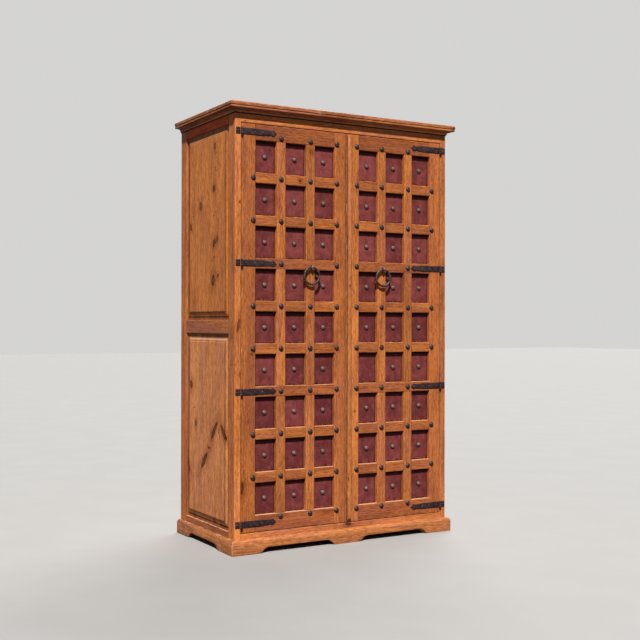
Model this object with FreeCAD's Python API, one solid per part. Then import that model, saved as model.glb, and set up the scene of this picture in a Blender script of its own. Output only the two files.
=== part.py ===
import FreeCAD, Part
import math
import os

Vector = FreeCAD.Vector

# The cabinet stands on z = 0 with its doors towards -y.
# The origin is the middle of its outer box on the floor.

# Overall sizes
overall_height = 2032.0
body_width = 1171.0
body_depth = 615.0

# Corner posts and the rails of the front opening
post_width = 31.0
front_post_depth = 65.0
rear_post_depth = 67.0
front_rail_thickness = 36.0
front_rail_show_above = 46.0
front_rail_show_below = 26.0
rail_foot_height = 30.0

# Framed and panelled sides
side_rail_thickness = 24.0
side_rail_show_above = 44.5
side_rail_show_below = 30.0
side_middle_rail_centre = 1023.5
side_middle_rail_height = 65.0
panel_tongue_depth = 8.0
panel_tongue_thickness = 6.0
panel_tongue_inset = 8.2
panel_margin = 20.0
panel_bevel = 17.5
panel_field_inset = 0.4
panel_field_step = 1.0
panel_play = 0.3

# Tenons of every rail
tenon_length = 20.0
tenon_thickness = 10.0
tenon_shoulder = 12.0
tenon_play = 0.1

# Back, floor, top and shelves
back_board_thickness = 12.0
back_board_count = 8
back_rail_thickness = 24.0
back_rail_height = 60.0
back_rail_below_shelf = 9.0
floor_board_thickness = 18.0
floor_board_count = 4
top_board_thickness = 18.0
top_board_count = 4
shelf_count = 3
shelf_thickness = 20.0
shelf_setback = 46.0
shelf_play = 0.8
cleat_height = 30.0
cleat_thickness = 18.0

# Cornice moulding, from its top down
cornice_overhang = 36.0
cornice_height = 41.0
nose_height = 17.0
nose_round = 5.0
quirk_depth = 6.0
quirk_height = 1.5
bead_height = 9.0
bead_setback = 2.5
cove_height = 10.0
foot_bead_overhang = 6.0

# Plinth and its bracket cut-outs
plinth_overhang = 20.5
plinth_height = 67.0
plinth_round = 17.0
plinth_foot_length = 144.5
plinth_side_front_foot = 154.0
plinth_side_rear_foot = 137.0
plinth_cut_height = 26.0
plinth_cut_curve = 46.0

# Doors: both have the wider stile on the left
door_gap = 3.0
door_stop_gap = 0.5
door_wide_stile = 70.0
door_narrow_stile = 62.0
door_top_rail = 71.0
door_bottom_rail = 75.0
lattice_muntin = 46.0
lattice_bar = 48.0
lattice_thickness = 20.0
backing_thickness = 12.0
leather_thickness = 2.5
leather_play = 0.5
cell_columns = 3
section_rows = 3
section_count = 3

# Round-headed iron studs
stud_diameter = 26.0
stud_height = 8.0
stud_stile_inset = 12.0
stud_rail_inset = 15.0

# Strip on the meeting edge of the right door
astragal_width = 28.0
astragal_thickness = 6.0
astragal_round = 3.5
astragal_top_gap = 5.0
astragal_bottom_gap = 8.0

# Forged strap hinges
hinge_height = 31.0
strap_stud_gap = 4.1666667
strap_thickness = 3.0
leaf_thickness = 2.5
leaf_edge_inset = 4.0
barrel_radius = 6.0
barrel_standoff = 0.4
knuckle_gap = 0.3
knuckle_clearance = 0.4
pin_radius = 3.0
pin_running_clearance = 0.05
pin_tail_length = 9.0
pin_tail_radius = 2.0
pin_head_height = 1.5
nail_diameter = 7.0
nail_height = 2.0

# Ring pulls
ring_outer_diameter = 91.0
ring_bar_radius = 6.0
ring_seat_gap = 0.3
eye_bar_radius = 2.75
eye_inner_radius = 6.9
eye_drop = 12.0
eye_shank_radius = 3.5
eye_shank_length = 24.0
eye_hole_play = 0.1
eye_face_gap = 1.0

# Stop strip and magnetic catches
stop_thickness = 18.0
stop_lap = 15.0
stop_height = 55.0
catch_length = 40.0
catch_height = 16.0
catch_depth = 18.0
catch_offset = 45.0
catch_plate_thickness = 1.2
catch_air_gap = 0.8

# Amount by which every cutting body runs past what it cuts
overrun = 5.0

# Outline of a strap from its barrel: share of its length, share of its half height
strap_outline_shares = ((0.62, 0.96), (0.645, 0.86), (0.76, 0.84), (0.80, 0.72), (0.835, 0.74))
strap_spade_shares = ((0.885, 0.94), (0.935, 0.76))
strap_nail_shares = (0.13, 0.38, 0.60, 0.885)
leaf_nail_shares = (0.22, 0.62)

# Places worked out from the sizes above
half_width = body_width / 2
overall_depth = body_depth + cornice_overhang
face_y = cornice_overhang - overall_depth / 2
back_y = overall_depth / 2
carcass_top = overall_height - top_board_thickness
cornice_bottom = overall_height - cornice_height
side_opening_bottom = plinth_height + side_rail_show_below
side_opening_top = cornice_bottom - side_rail_show_above
opening_bottom = plinth_height + front_rail_show_below
opening_top = cornice_bottom - front_rail_show_above
front_post_y = face_y + front_post_depth
rear_post_y = back_y - rear_post_depth
back_rail_y = back_y - back_board_thickness - back_rail_thickness
door_bottom = opening_bottom + door_gap
door_top = opening_top - door_gap
door_height = door_top - door_bottom
door_width = (body_width - 2 * post_width - 3 * door_gap) / 2
door_thickness = front_rail_thickness - door_stop_gap
cell_rows = section_rows * section_count
cell_width = (door_width - door_wide_stile - door_narrow_stile
              - (cell_columns - 1) * lattice_muntin) / cell_columns
cell_height = (door_height - door_top_rail - door_bottom_rail - (cell_rows - 1) * lattice_bar) / cell_rows
cell_pitch_x = cell_width + lattice_muntin
cell_pitch_z = cell_height + lattice_bar
hinge_axis_y = face_y - barrel_radius - barrel_standoff
ring_radius = ring_outer_diameter / 2 - ring_bar_radius
eye_radius = eye_inner_radius + eye_bar_radius
eye_y = face_y - eye_face_gap - eye_radius - eye_bar_radius
strap_length = (door_gap / 2 + door_narrow_stile + cell_width
                + (lattice_muntin - stud_diameter) / 2 - strap_stud_gap)


def block(x0, x1, y0, y1, z0, z1):
    """A straight board between two corners."""
    return Part.makeBox(x1 - x0, y1 - y0, z1 - z0, Vector(x0, y0, z0))


def side_block(side, inset0, inset1, y0, y1, z0, z1):
    """A board given by its distances in from the outer face of the left (-1) or right (+1) side."""
    x0, x1 = sorted((side * (half_width - inset0), side * (half_width - inset1)))
    return block(x0, x1, y0, y1, z0, z1)


def prism(points, direction):
    """A solid with straight edges: a closed outline moved along a direction."""
    wire = Part.makePolygon(points + [points[0]])
    return Part.Face(wire).extrude(direction)


def dome(diameter, height, base):
    """A round nail head lying on a face that looks towards -y."""
    radius = diameter / 2
    top = Vector(0, -height, 0)
    rim = Vector(radius, 0, 0)
    sphere = (radius * radius + height * height) / (2 * height)
    lean = math.asin(radius / sphere) / 2
    middle = Vector(sphere * math.sin(lean), sphere - height - sphere * math.cos(lean), 0)
    outline = Part.Wire([
        Part.makeLine(Vector(0, 0, 0), rim),
        Part.Arc(rim, middle, top).toShape(),
        Part.makeLine(top, Vector(0, 0, 0)),
    ])
    head = Part.Face(outline).revolve(Vector(0, 0, 0), Vector(0, 1, 0), 360)
    head = Part.Solid(head.Shells[0]) if head.ShapeType != "Solid" else head
    head.translate(base)
    return head


def save(name, solids):
    """One file for one named piece, or for a group of like pieces."""
    shape = solids[0] if len(solids) == 1 else Part.makeCompound(solids)
    shape.exportStep("parts/" + name + ".step")
    volume = sum(solid.Volume for solid in solids)
    print(name, len(solids), "solids", round(volume / 1000), "cm3")


# Rails with stub tenons, and the mortises that take them

def tenon_along_x(x0, x1, y0, z0, z1, thickness, play):
    """The tongue on a rail that runs left to right; a mortise is the same with play added."""
    middle = y0 + thickness / 2
    return block(min(x0, x1) - play, max(x0, x1) + play,
                 middle - tenon_thickness / 2 - play, middle + tenon_thickness / 2 + play,
                 z0 + tenon_shoulder - play, z1 - tenon_shoulder + play)


def side_tenon(side, y0, y1, z0, z1, play):
    """The tongue on a rail of one side, which runs front to back."""
    middle = side_rail_thickness / 2
    return side_block(side, middle - tenon_thickness / 2 - play, middle + tenon_thickness / 2 + play,
                      y0 - play, y1 + play, z0 + tenon_shoulder - play, z1 - tenon_shoulder + play)


def cross_rail(y0, thickness, z0, z1):
    """A rail between the left and right posts, with a tenon at each end."""
    inner = half_width - post_width
    rail = block(-inner, inner, y0, y0 + thickness, z0, z1)
    for side in (-1, 1):
        rail = rail.fuse(tenon_along_x(side * inner, side * (inner + tenon_length), y0, z0, z1, thickness, 0))
    return rail.removeSplitter()


def side_rail(side, z0, z1):
    """A rail between the front and rear posts of one side, with a tenon at each end."""
    rail = side_block(side, 0, side_rail_thickness, front_post_y, rear_post_y, z0, z1)
    rail = rail.fuse(side_tenon(side, front_post_y - tenon_length, front_post_y, z0, z1, 0))
    rail = rail.fuse(side_tenon(side, rear_post_y, rear_post_y + tenon_length, z0, z1, 0))
    return rail.removeSplitter()


side_rail_heights = {
    "bottom": (rail_foot_height, side_opening_bottom),
    "middle": (side_middle_rail_centre - side_middle_rail_height / 2,
               side_middle_rail_centre + side_middle_rail_height / 2),
    "top": (side_opening_top, carcass_top),
}
front_rail_heights = ((rail_foot_height, opening_bottom), (opening_top, carcass_top))
shelf_space = (opening_top - opening_bottom - shelf_count * shelf_thickness) / (shelf_count + 1)
shelf_levels = [opening_bottom + (i + 1) * shelf_space + i * shelf_thickness for i in range(shelf_count)]
back_rail_tops = (opening_bottom - floor_board_thickness,
                  shelf_levels[shelf_count // 2] - back_rail_below_shelf + back_rail_height,
                  carcass_top)
back_rail_heights = [(top - back_rail_height, top) for top in back_rail_tops]
panel_heights = {
    "lower": (side_rail_heights["bottom"][1], side_rail_heights["middle"][0]),
    "upper": (side_rail_heights["middle"][1], side_rail_heights["top"][0]),
}


def panel_groove(side, z0, z1):
    """The slot in posts and rails that holds the thin edge of a side panel."""
    return side_block(side, panel_tongue_inset - panel_play,
                      panel_tongue_inset + panel_tongue_thickness + panel_play,
                      front_post_y - panel_tongue_depth - panel_play,
                      rear_post_y + panel_tongue_depth + panel_play,
                      z0 - panel_tongue_depth - panel_play, z1 + panel_tongue_depth + panel_play)


# Corner posts

def post(side, y0, y1, front):
    """A corner post that runs from the floor to the top boards."""
    shape = side_block(side, 0, post_width, y0, y1, 0, carcass_top)
    cuts = [panel_groove(side, z0, z1) for z0, z1 in panel_heights.values()]
    for z0, z1 in side_rail_heights.values():
        near, far = (y1 - tenon_length, y1) if front else (y0, y0 + tenon_length)
        cuts.append(side_tenon(side, near, far, z0, z1, tenon_play))
    inner = half_width - post_width
    ends = (side * inner, side * (inner + tenon_length))
    if front:
        for z0, z1 in front_rail_heights:
            cuts.append(tenon_along_x(*ends, face_y, z0, z1, front_rail_thickness, tenon_play))
    else:
        for z0, z1 in back_rail_heights:
            cuts.append(tenon_along_x(*ends, back_rail_y, z0, z1, back_rail_thickness, tenon_play))
    return shape.cut(cuts)


def make_posts():
    for name, side in (("left", -1), ("right", 1)):
        save("front_" + name + "_post", [post(side, face_y, front_post_y, True)])
        save("rear_" + name + "_post", [post(side, rear_post_y, back_y, False)])


# Rails of the carcass

def make_rails():
    save("front_bottom_rail", [cross_rail(face_y, front_rail_thickness, *front_rail_heights[0])])
    save("front_top_rail", [cross_rail(face_y, front_rail_thickness, *front_rail_heights[1])])
    save("back_rails", [cross_rail(back_rail_y, back_rail_thickness, z0, z1) for z0, z1 in back_rail_heights])
    for name, side in (("left", -1), ("right", 1)):
        grooves = [panel_groove(side, z0, z1) for z0, z1 in panel_heights.values()]
        for level, (z0, z1) in side_rail_heights.items():
            save(name + "_side_" + level + "_rail", [side_rail(side, z0, z1).cut(grooves)])


# Raised and fielded side panels

def side_rectangle(side, inset, margin, z0, z1):
    """A rectangle parallel to one side, drawn in from the edges of the panel opening."""
    x = side * (half_width - inset)
    low_y = front_post_y + margin
    high_y = rear_post_y - margin
    corners = [Vector(x, low_y, z0 + margin), Vector(x, high_y, z0 + margin),
               Vector(x, high_y, z1 - margin), Vector(x, low_y, z1 - margin)]
    return Part.makePolygon(corners + [corners[0]])


def side_panel(side, z0, z1):
    """A board with a thin flat margin, a bevel that rises from it, and a stepped flat field."""
    plate = side_block(side, panel_tongue_inset, panel_tongue_inset + panel_tongue_thickness,
                       front_post_y - panel_tongue_depth, rear_post_y + panel_tongue_depth,
                       z0 - panel_tongue_depth, z1 + panel_tongue_depth)
    field_edge = panel_margin + panel_bevel
    step_inset = panel_field_inset + panel_field_step
    bevel = Part.makeLoft([side_rectangle(side, panel_tongue_inset, panel_margin, z0, z1),
                           side_rectangle(side, step_inset, field_edge, z0, z1)], True, True)
    field = side_block(side, panel_field_inset, panel_tongue_inset,
                       front_post_y + field_edge, rear_post_y - field_edge, z0 + field_edge, z1 - field_edge)
    return plate.fuse([bevel, field]).removeSplitter()


def make_side_panels():
    for name, side in (("left", -1), ("right", 1)):
        for level, (z0, z1) in panel_heights.items():
            save(name + "_" + level + "_panel", [side_panel(side, z0, z1)])


# Boards of the back, floor and top

def make_boards():
    inner = half_width - post_width
    width = 2 * inner / back_board_count
    save("back_boards", [block(-inner + i * width, -inner + (i + 1) * width,
                               back_y - back_board_thickness, back_y, rail_foot_height, carcass_top)
                         for i in range(back_board_count)])
    reach = half_width - side_rail_thickness
    low_y = face_y + front_rail_thickness
    depth = (back_y - back_board_thickness - low_y) / floor_board_count
    floor_bottom = opening_bottom - floor_board_thickness
    corners = [side_block(side, -overrun, post_width, y0, y1, 0, carcass_top) for side in (-1, 1)
               for y0, y1 in ((face_y, front_post_y), (rear_post_y, back_y))]
    save("floor_boards", [block(-reach, reach, low_y + i * depth, low_y + (i + 1) * depth, floor_bottom,
                                opening_bottom).cut(corners) for i in range(floor_board_count)])
    depth = body_depth / top_board_count
    save("top_boards", [block(-half_width, half_width, face_y + i * depth, face_y + (i + 1) * depth,
                              carcass_top, overall_height) for i in range(top_board_count)])


# Shelves and the cleats that carry them

def make_shelves():
    inner = half_width - post_width
    low_y = face_y + shelf_setback
    reach = inner - shelf_play
    save("shelves", [block(-reach, reach, low_y, back_rail_y, z, z + shelf_thickness) for z in shelf_levels])
    cleats = []
    for level in [opening_bottom - floor_board_thickness] + shelf_levels:
        for side in (-1, 1):
            cleats.append(side_block(side, post_width, post_width + cleat_thickness, low_y, back_rail_y,
                                     level - cleat_height, level))
    save("shelf_cleats", cleats)


# Cornice moulding, mitred at the two front corners

def cornice_profile(place):
    """The section of the moulding; place turns a distance out and a height into a point."""
    top = overall_height
    nose_bottom = top - nose_height
    bead_top = nose_bottom - quirk_height
    bead_bottom = bead_top - bead_height
    cove_bottom = bead_bottom - cove_height
    bead_out = cornice_overhang - bead_setback
    quirk_out = bead_out - quirk_depth
    bead_half = bead_height / 2
    cove_top_out = quirk_out - quirk_depth / 2
    cove_run = cove_top_out - foot_bead_overhang
    bend = math.sqrt(0.5)
    curve = [
        Part.makeLine(place(0, cornice_bottom), place(0, top)),
        Part.makeLine(place(0, top), place(cornice_overhang - nose_round, top)),
        Part.Arc(place(cornice_overhang - nose_round, top),
                 place(cornice_overhang - nose_round * (1 - bend), top - nose_round * (1 - bend)),
                 place(cornice_overhang, top - nose_round)).toShape(),
        Part.makeLine(place(cornice_overhang, top - nose_round),
                      place(cornice_overhang, nose_bottom + nose_round)),
        Part.Arc(place(cornice_overhang, nose_bottom + nose_round),
                 place(cornice_overhang - nose_round * (1 - bend), nose_bottom + nose_round * (1 - bend)),
                 place(cornice_overhang - nose_round, nose_bottom)).toShape(),
        Part.makeLine(place(cornice_overhang - nose_round, nose_bottom), place(quirk_out, nose_bottom)),
        Part.makeLine(place(quirk_out, nose_bottom), place(quirk_out, bead_top)),
        Part.makeLine(place(quirk_out, bead_top), place(bead_out - bead_half, bead_top)),
        Part.Arc(place(bead_out - bead_half, bead_top), place(bead_out, bead_top - bead_half),
                 place(bead_out - bead_half, bead_bottom)).toShape(),
        Part.makeLine(place(bead_out - bead_half, bead_bottom), place(cove_top_out, bead_bottom)),
        Part.Arc(place(cove_top_out, bead_bottom),
                 place(cove_top_out - cove_run * bend, bead_bottom - cove_height * (1 - bend)),
                 place(foot_bead_overhang, cove_bottom)).toShape(),
        Part.makeLine(place(foot_bead_overhang, cove_bottom), place(foot_bead_overhang, cornice_bottom)),
        Part.makeLine(place(foot_bead_overhang, cornice_bottom), place(0, cornice_bottom)),
    ]
    return Part.Face(Part.Wire(curve))


def mitre_wedge(side, overhang, front, z0, z1):
    """The waste beyond the 45 degree mitre of a front board, or of a side board."""
    reach = overhang + overrun
    corner = Vector(side * half_width, face_y, z0)
    tip = Vector(side * (half_width + reach), face_y - reach, z0)
    waste = Vector(tip.x, corner.y, z0) if front else Vector(corner.x, tip.y, z0)
    return prism([corner, tip, waste], Vector(0, 0, z1 - z0))


def make_cornice():
    low = cornice_bottom - overrun
    high = overall_height + overrun
    reach = half_width + cornice_overhang
    face = cornice_profile(lambda out, z: Vector(-reach, face_y - out, z))
    wedges = [mitre_wedge(side, cornice_overhang, True, low, high) for side in (-1, 1)]
    save("cornice_front", [face.extrude(Vector(2 * reach, 0, 0)).cut(wedges)])
    for name, side in (("left", -1), ("right", 1)):
        face = cornice_profile(lambda out, z: Vector(side * (half_width + out), face_y - cornice_overhang, z))
        length = body_depth + cornice_overhang
        moulding = face.extrude(Vector(0, length, 0))
        moulding = moulding.cut(mitre_wedge(side, cornice_overhang, False, low, high))
        save("cornice_" + name, [moulding])


# Plinth boards with bracket cut-outs

def plinth_profile(place):
    """The section of the plinth: square below and rounded over above."""
    turn = plinth_round * (1 - math.sqrt(0.5))
    curve = [
        Part.makeLine(place(0, 0), place(0, plinth_height)),
        Part.makeLine(place(0, plinth_height), place(plinth_overhang - plinth_round, plinth_height)),
        Part.Arc(place(plinth_overhang - plinth_round, plinth_height),
                 place(plinth_overhang - turn, plinth_height - turn),
                 place(plinth_overhang, plinth_height - plinth_round)).toShape(),
        Part.makeLine(place(plinth_overhang, plinth_height - plinth_round), place(plinth_overhang, 0)),
        Part.makeLine(place(plinth_overhang, 0), place(0, 0)),
    ]
    return Part.Face(Part.Wire(curve))


def bracket_cut(start, end, place, through):
    """The shape sawn out between two feet: a slope at each end that curves into a level top."""
    bend = math.sqrt(0.5)
    slope_top = plinth_cut_height - plinth_cut_curve * (1 - bend)
    slope_run = slope_top + plinth_cut_curve * bend
    middle_angle = math.pi / 8
    near_x = plinth_cut_curve * math.sin(middle_angle)
    near_z = plinth_cut_height - plinth_cut_curve * (1 - math.cos(middle_angle))
    low = -overrun
    edges = [
        Part.makeLine(place(start + low, low), place(start + slope_top, slope_top)),
        Part.Arc(place(start + slope_top, slope_top), place(start + slope_run - near_x, near_z),
                 place(start + slope_run, plinth_cut_height)).toShape(),
        Part.makeLine(place(start + slope_run, plinth_cut_height), place(end - slope_run, plinth_cut_height)),
        Part.Arc(place(end - slope_run, plinth_cut_height), place(end - slope_run + near_x, near_z),
                 place(end - slope_top, slope_top)).toShape(),
        Part.makeLine(place(end - slope_top, slope_top), place(end - low, low)),
        Part.makeLine(place(end - low, low), place(start + low, low)),
    ]
    return Part.Face(Part.Wire(edges)).extrude(through)


def make_plinth():
    reach = half_width + plinth_overhang
    low = -overrun
    high = plinth_height + overrun
    board = plinth_profile(lambda out, z: Vector(-reach, face_y - out, z)).extrude(Vector(2 * reach, 0, 0))
    cuts = [mitre_wedge(side, plinth_overhang, True, low, high) for side in (-1, 1)]
    cut_length = (2 * reach - 3 * plinth_foot_length) / 2
    back = face_y + overrun
    through = Vector(0, -plinth_overhang - 2 * overrun, 0)
    for i in range(2):
        start = -reach + plinth_foot_length + i * (cut_length + plinth_foot_length)
        cuts.append(bracket_cut(start, start + cut_length, lambda x, z: Vector(x, back, z), through))
    save("plinth_front", [board.cut(cuts)])
    front_y = face_y - plinth_overhang
    for name, side in (("left", -1), ("right", 1)):
        board = plinth_profile(lambda out, z: Vector(side * (half_width + out), front_y, z))
        board = board.extrude(Vector(0, body_depth + plinth_overhang, 0))
        inner = side * (half_width - overrun)
        through = Vector(side * (plinth_overhang + 2 * overrun), 0, 0)
        cut = bracket_cut(front_y + plinth_side_front_foot, back_y - plinth_side_rear_foot,
                          lambda y, z: Vector(inner, y, z), through)
        save("plinth_" + name, [board.cut([mitre_wedge(side, plinth_overhang, False, low, high), cut])])


# Places in a door, from its left edge and from its bottom

def door_left_edge(side):
    """The left edge of the left (-1) or right (+1) door."""
    return -half_width + post_width + door_gap if side < 0 else door_gap / 2


def column_edges(side, column):
    """Left and right edges of a column of cells, counted from the left."""
    left = door_left_edge(side) + door_wide_stile + column * cell_pitch_x
    return left, left + cell_width


def row_edges(row):
    """Bottom and top edges of a row of cells, counted from the bottom."""
    bottom = door_bottom + door_bottom_rail + row * cell_pitch_z
    return bottom, bottom + cell_height


def rail_heights():
    """Bottom and top edges of the door's rails: bottom rail, rails between sections, top rail."""
    heights = [(door_bottom, row_edges(0)[0])]
    for section in range(1, section_count):
        bottom = row_edges(section * section_rows)[0]
        heights.append((bottom - lattice_bar, bottom))
    heights.append((row_edges(cell_rows - 1)[1], door_top))
    return heights


def section_heights():
    """Bottom and top edges of the openings between the door's rails."""
    rails = rail_heights()
    return [(rails[i][1], rails[i + 1][0]) for i in range(section_count)]


def hinge_heights():
    """Middle height of each hinge, which is the middle of each rail."""
    return [(low + high) / 2 for low, high in rail_heights()]


def stile_edges(side):
    """Left and right edges of the wide stile and of the narrow one."""
    left = door_left_edge(side)
    right = left + door_width
    return (left, left + door_wide_stile), (right - door_narrow_stile, right)


def door_tenon(side, end, z0, z1, play):
    """The tongue of a door rail in the wide (0) or narrow (1) stile."""
    wide, narrow = stile_edges(side)
    shoulder = wide[1] if end == 0 else narrow[0]
    tip = shoulder - tenon_length if end == 0 else shoulder + tenon_length
    shape = tenon_along_x(tip, shoulder, face_y, z0, z1, lattice_thickness, play)
    return shape


def backing_slot(side, play):
    """The three flat boards behind the cells, or with play the grooves that hold their edges."""
    wide, narrow = stile_edges(side)
    return [block(wide[1] - panel_tongue_depth - play, narrow[0] + panel_tongue_depth + play,
                  face_y + lattice_thickness - play, face_y + lattice_thickness + backing_thickness + play,
                  z0 - panel_tongue_depth - play, z1 + panel_tongue_depth + play)
            for z0, z1 in section_heights()]


# Door frames, lattice and backing

def eye_place(side):
    """Where the ring pull's eye meets the door: the muntin nearest the meeting edge."""
    column = cell_columns - 1 if side < 0 else 1
    x = column_edges(side, column)[0] - lattice_muntin / 2
    return x, hinge_heights()[section_count - 1] - eye_drop


def eye_hole(side):
    """The blind hole for the shank of the eye."""
    x, z = eye_place(side)
    return Part.makeCylinder(eye_shank_radius + eye_hole_play, eye_shank_length + eye_hole_play + overrun,
                             Vector(x, face_y - overrun, z), Vector(0, 1, 0))


def make_door_frame(name, side):
    back = face_y + door_thickness
    grooves = backing_slot(side, panel_play)
    for end, (x0, x1) in enumerate(stile_edges(side)):
        mortises = [door_tenon(side, end, z0, z1, tenon_play) for z0, z1 in rail_heights()]
        stile = block(x0, x1, face_y, back, door_bottom, door_top).cut(grooves + mortises)
        hinged = (end == 0) == (side < 0)
        save(name + ("_hinge_stile" if hinged else "_meeting_stile"), [stile])
    wide, narrow = stile_edges(side)
    rails = []
    for z0, z1 in rail_heights():
        rail = block(wide[1], narrow[0], face_y, back, z0, z1)
        rail = rail.fuse([door_tenon(side, end, z0, z1, 0) for end in (0, 1)]).removeSplitter()
        rails.append(rail.cut(grooves + [eye_hole(side)]))
    save(name + "_rails", rails)
    save(name + "_backing_boards", backing_slot(side, 0))


def make_lattice(name, side):
    back = face_y + lattice_thickness
    hole = eye_hole(side)
    muntins = []
    for z0, z1 in section_heights():
        for column in range(1, cell_columns):
            right = column_edges(side, column)[0]
            muntins.append(block(right - lattice_muntin, right, face_y, back, z0, z1).cut(hole))
    save(name + "_muntins", muntins)
    bars = []
    for row in range(1, cell_rows):
        if row % section_rows == 0:
            continue
        top = row_edges(row)[0]
        for column in range(cell_columns):
            x0, x1 = column_edges(side, column)
            bars.append(block(x0, x1, face_y, back, top - lattice_bar, top))
    save(name + "_lattice_bars", bars)


# Leather squares at the bottom of the cells

def make_leather(name, side):
    back = face_y + lattice_thickness
    squares = []
    for row in range(cell_rows):
        z0, z1 = row_edges(row)
        for column in range(cell_columns):
            x0, x1 = column_edges(side, column)
            squares.append(block(x0 + leather_play, x1 - leather_play, back - leather_thickness, back,
                                 z0 + leather_play, z1 - leather_play))
    save(name + "_leather_panels", squares)


# Round-headed studs on the lattice crossings and in the middle of the leather squares

def stud_columns(side):
    """Left to right: on the wide stile, on each muntin and on the narrow stile."""
    wide, narrow = stile_edges(side)
    muntins = [column_edges(side, column)[0] - lattice_muntin / 2 for column in range(1, cell_columns)]
    return [wide[1] - stud_stile_inset] + muntins + [narrow[0] + stud_stile_inset]


def stud_rows():
    """Bottom to top: on the bottom rail, on each bar and on the top rail."""
    bars = [row_edges(row)[0] - lattice_bar / 2 for row in range(1, cell_rows)]
    return [row_edges(0)[0] - stud_rail_inset] + bars + [row_edges(cell_rows - 1)[1] + stud_rail_inset]


def make_studs(name, side):
    head = dome(stud_diameter, stud_height, Vector(0, 0, 0))
    hinge_column = 0 if side < 0 else cell_columns
    ring_column = cell_columns - 1 if side < 0 else 1
    ring_row = section_rows * (section_count - 1)
    studs = []
    for i, x in enumerate(stud_columns(side)):
        for j, z in enumerate(stud_rows()):
            on_strap = i == hinge_column and j % section_rows == 0
            on_ring = i == ring_column and j == ring_row
            if not (on_strap or on_ring):
                studs.append(head.translated(Vector(x, face_y, z)))
    leather_y = face_y + lattice_thickness - leather_thickness
    lost_row = section_rows
    for row in range(cell_rows):
        z0, z1 = row_edges(row)
        for column in range(cell_columns):
            x0, x1 = column_edges(side, column)
            lost = side > 0 and column == 0 and row == lost_row
            if not lost:
                studs.append(head.translated(Vector((x0 + x1) / 2, leather_y, (z0 + z1) / 2)))
    save(name + "_studs", studs)


# Strip that covers the meeting edge of the right door

def make_astragal():
    x0 = door_left_edge(1)
    x1 = x0 + astragal_width
    z0 = door_bottom + astragal_bottom_gap
    front = face_y - astragal_thickness
    turn = astragal_round * (1 - math.sqrt(0.5))
    left_low = Vector(x0, front + astragal_round, z0)
    left_high = Vector(x0 + astragal_round, front, z0)
    right_high = Vector(x1 - astragal_round, front, z0)
    right_low = Vector(x1, front + astragal_round, z0)
    edges = [
        Part.makeLine(Vector(x1, face_y, z0), Vector(x0, face_y, z0)),
        Part.makeLine(Vector(x0, face_y, z0), left_low),
        Part.Arc(left_low, Vector(x0 + turn, front + turn, z0), left_high).toShape(),
        Part.makeLine(left_high, right_high),
        Part.Arc(right_high, Vector(x1 - turn, front + turn, z0), right_low).toShape(),
        Part.makeLine(right_low, Vector(x1, face_y, z0)),
    ]
    height = door_top - astragal_top_gap - z0
    save("right_door_astragal", [Part.Face(Part.Wire(edges)).extrude(Vector(0, 0, height))])


# Strap hinges

def hinge_axis_x(side):
    """The hinge line, in the middle of the gap between post and door."""
    return side * (half_width - post_width - door_gap / 2)


def knuckle_bands(z):
    """Heights of the frame leaf's lower knuckle, the strap's knuckle and the leaf's upper knuckle."""
    third = hinge_height / 3
    low = z - hinge_height / 2
    return (low, low + third), (low + third, low + 2 * third), (low + 2 * third, low + hinge_height)


def barrel(side, band, radius, grow):
    """A length of the hinge barrel, or of what is cut out round it."""
    height = band[1] - band[0] + 2 * grow
    return Part.makeCylinder(radius, height, Vector(hinge_axis_x(side), hinge_axis_y, band[0] - grow))


def pin_hole(side, z):
    """The bore through the knuckles."""
    return Part.makeCylinder(pin_radius + pin_running_clearance, hinge_height + 2 * overrun,
                             Vector(hinge_axis_x(side), hinge_axis_y, z - hinge_height / 2 - overrun))


def frame_leaf(side, z):
    """The short leaf on the post, with a knuckle at its top and its bottom."""
    low, middle, high = knuckle_bands(z)
    x0, x1 = sorted((side * (half_width - leaf_edge_inset), hinge_axis_x(side)))
    plate = block(x0, x1, face_y - leaf_thickness, face_y, z - hinge_height / 2, z + hinge_height / 2)
    plate = plate.cut(barrel(side, middle, barrel_radius + knuckle_clearance, 0))
    leaf = plate.fuse([barrel(side, low, barrel_radius, 0), barrel(side, high, barrel_radius, 0)])
    return leaf.removeSplitter().cut(pin_hole(side, z))


def strap_point(side, z, along, up):
    """A point of the strap's outline from its shares along and across."""
    x = hinge_axis_x(side) - side * along * strap_length
    return Vector(x, face_y - strap_thickness, z + up * hinge_height / 2)


def door_strap(side, z):
    """The long strap on the door: a tapering bar with a notched waist and a pointed spade."""
    low, middle, high = knuckle_bands(z)
    upper = [strap_point(side, z, 0, 1)] + [strap_point(side, z, a, u) for a, u in strap_outline_shares]
    lower = [strap_point(side, z, 0, -1)] + [strap_point(side, z, a, -u) for a, u in strap_outline_shares]
    tip = strap_point(side, z, 1, 0)
    edges = [Part.makeLine(lower[0], upper[0])]
    for sign, points in ((1, upper), (-1, lower)):
        bulge = [strap_point(side, z, a, sign * u) for a, u in strap_spade_shares]
        edges += [Part.makeLine(points[i], points[i + 1]) for i in range(len(points) - 1)]
        edges.append(Part.Arc(points[-1], bulge[0], bulge[1]).toShape())
        edges.append(Part.makeLine(bulge[1], tip))
    outline = Part.Wire(Part.__sortEdges__(edges))
    plate = Part.Face(outline).extrude(Vector(0, strap_thickness, 0))
    for band in (low, high):
        plate = plate.cut(barrel(side, band, barrel_radius + knuckle_clearance, knuckle_gap))
    band = (middle[0] + knuckle_gap, middle[1] - knuckle_gap)
    return plate.fuse(barrel(side, band, barrel_radius, 0)).removeSplitter().cut(pin_hole(side, z))


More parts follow.
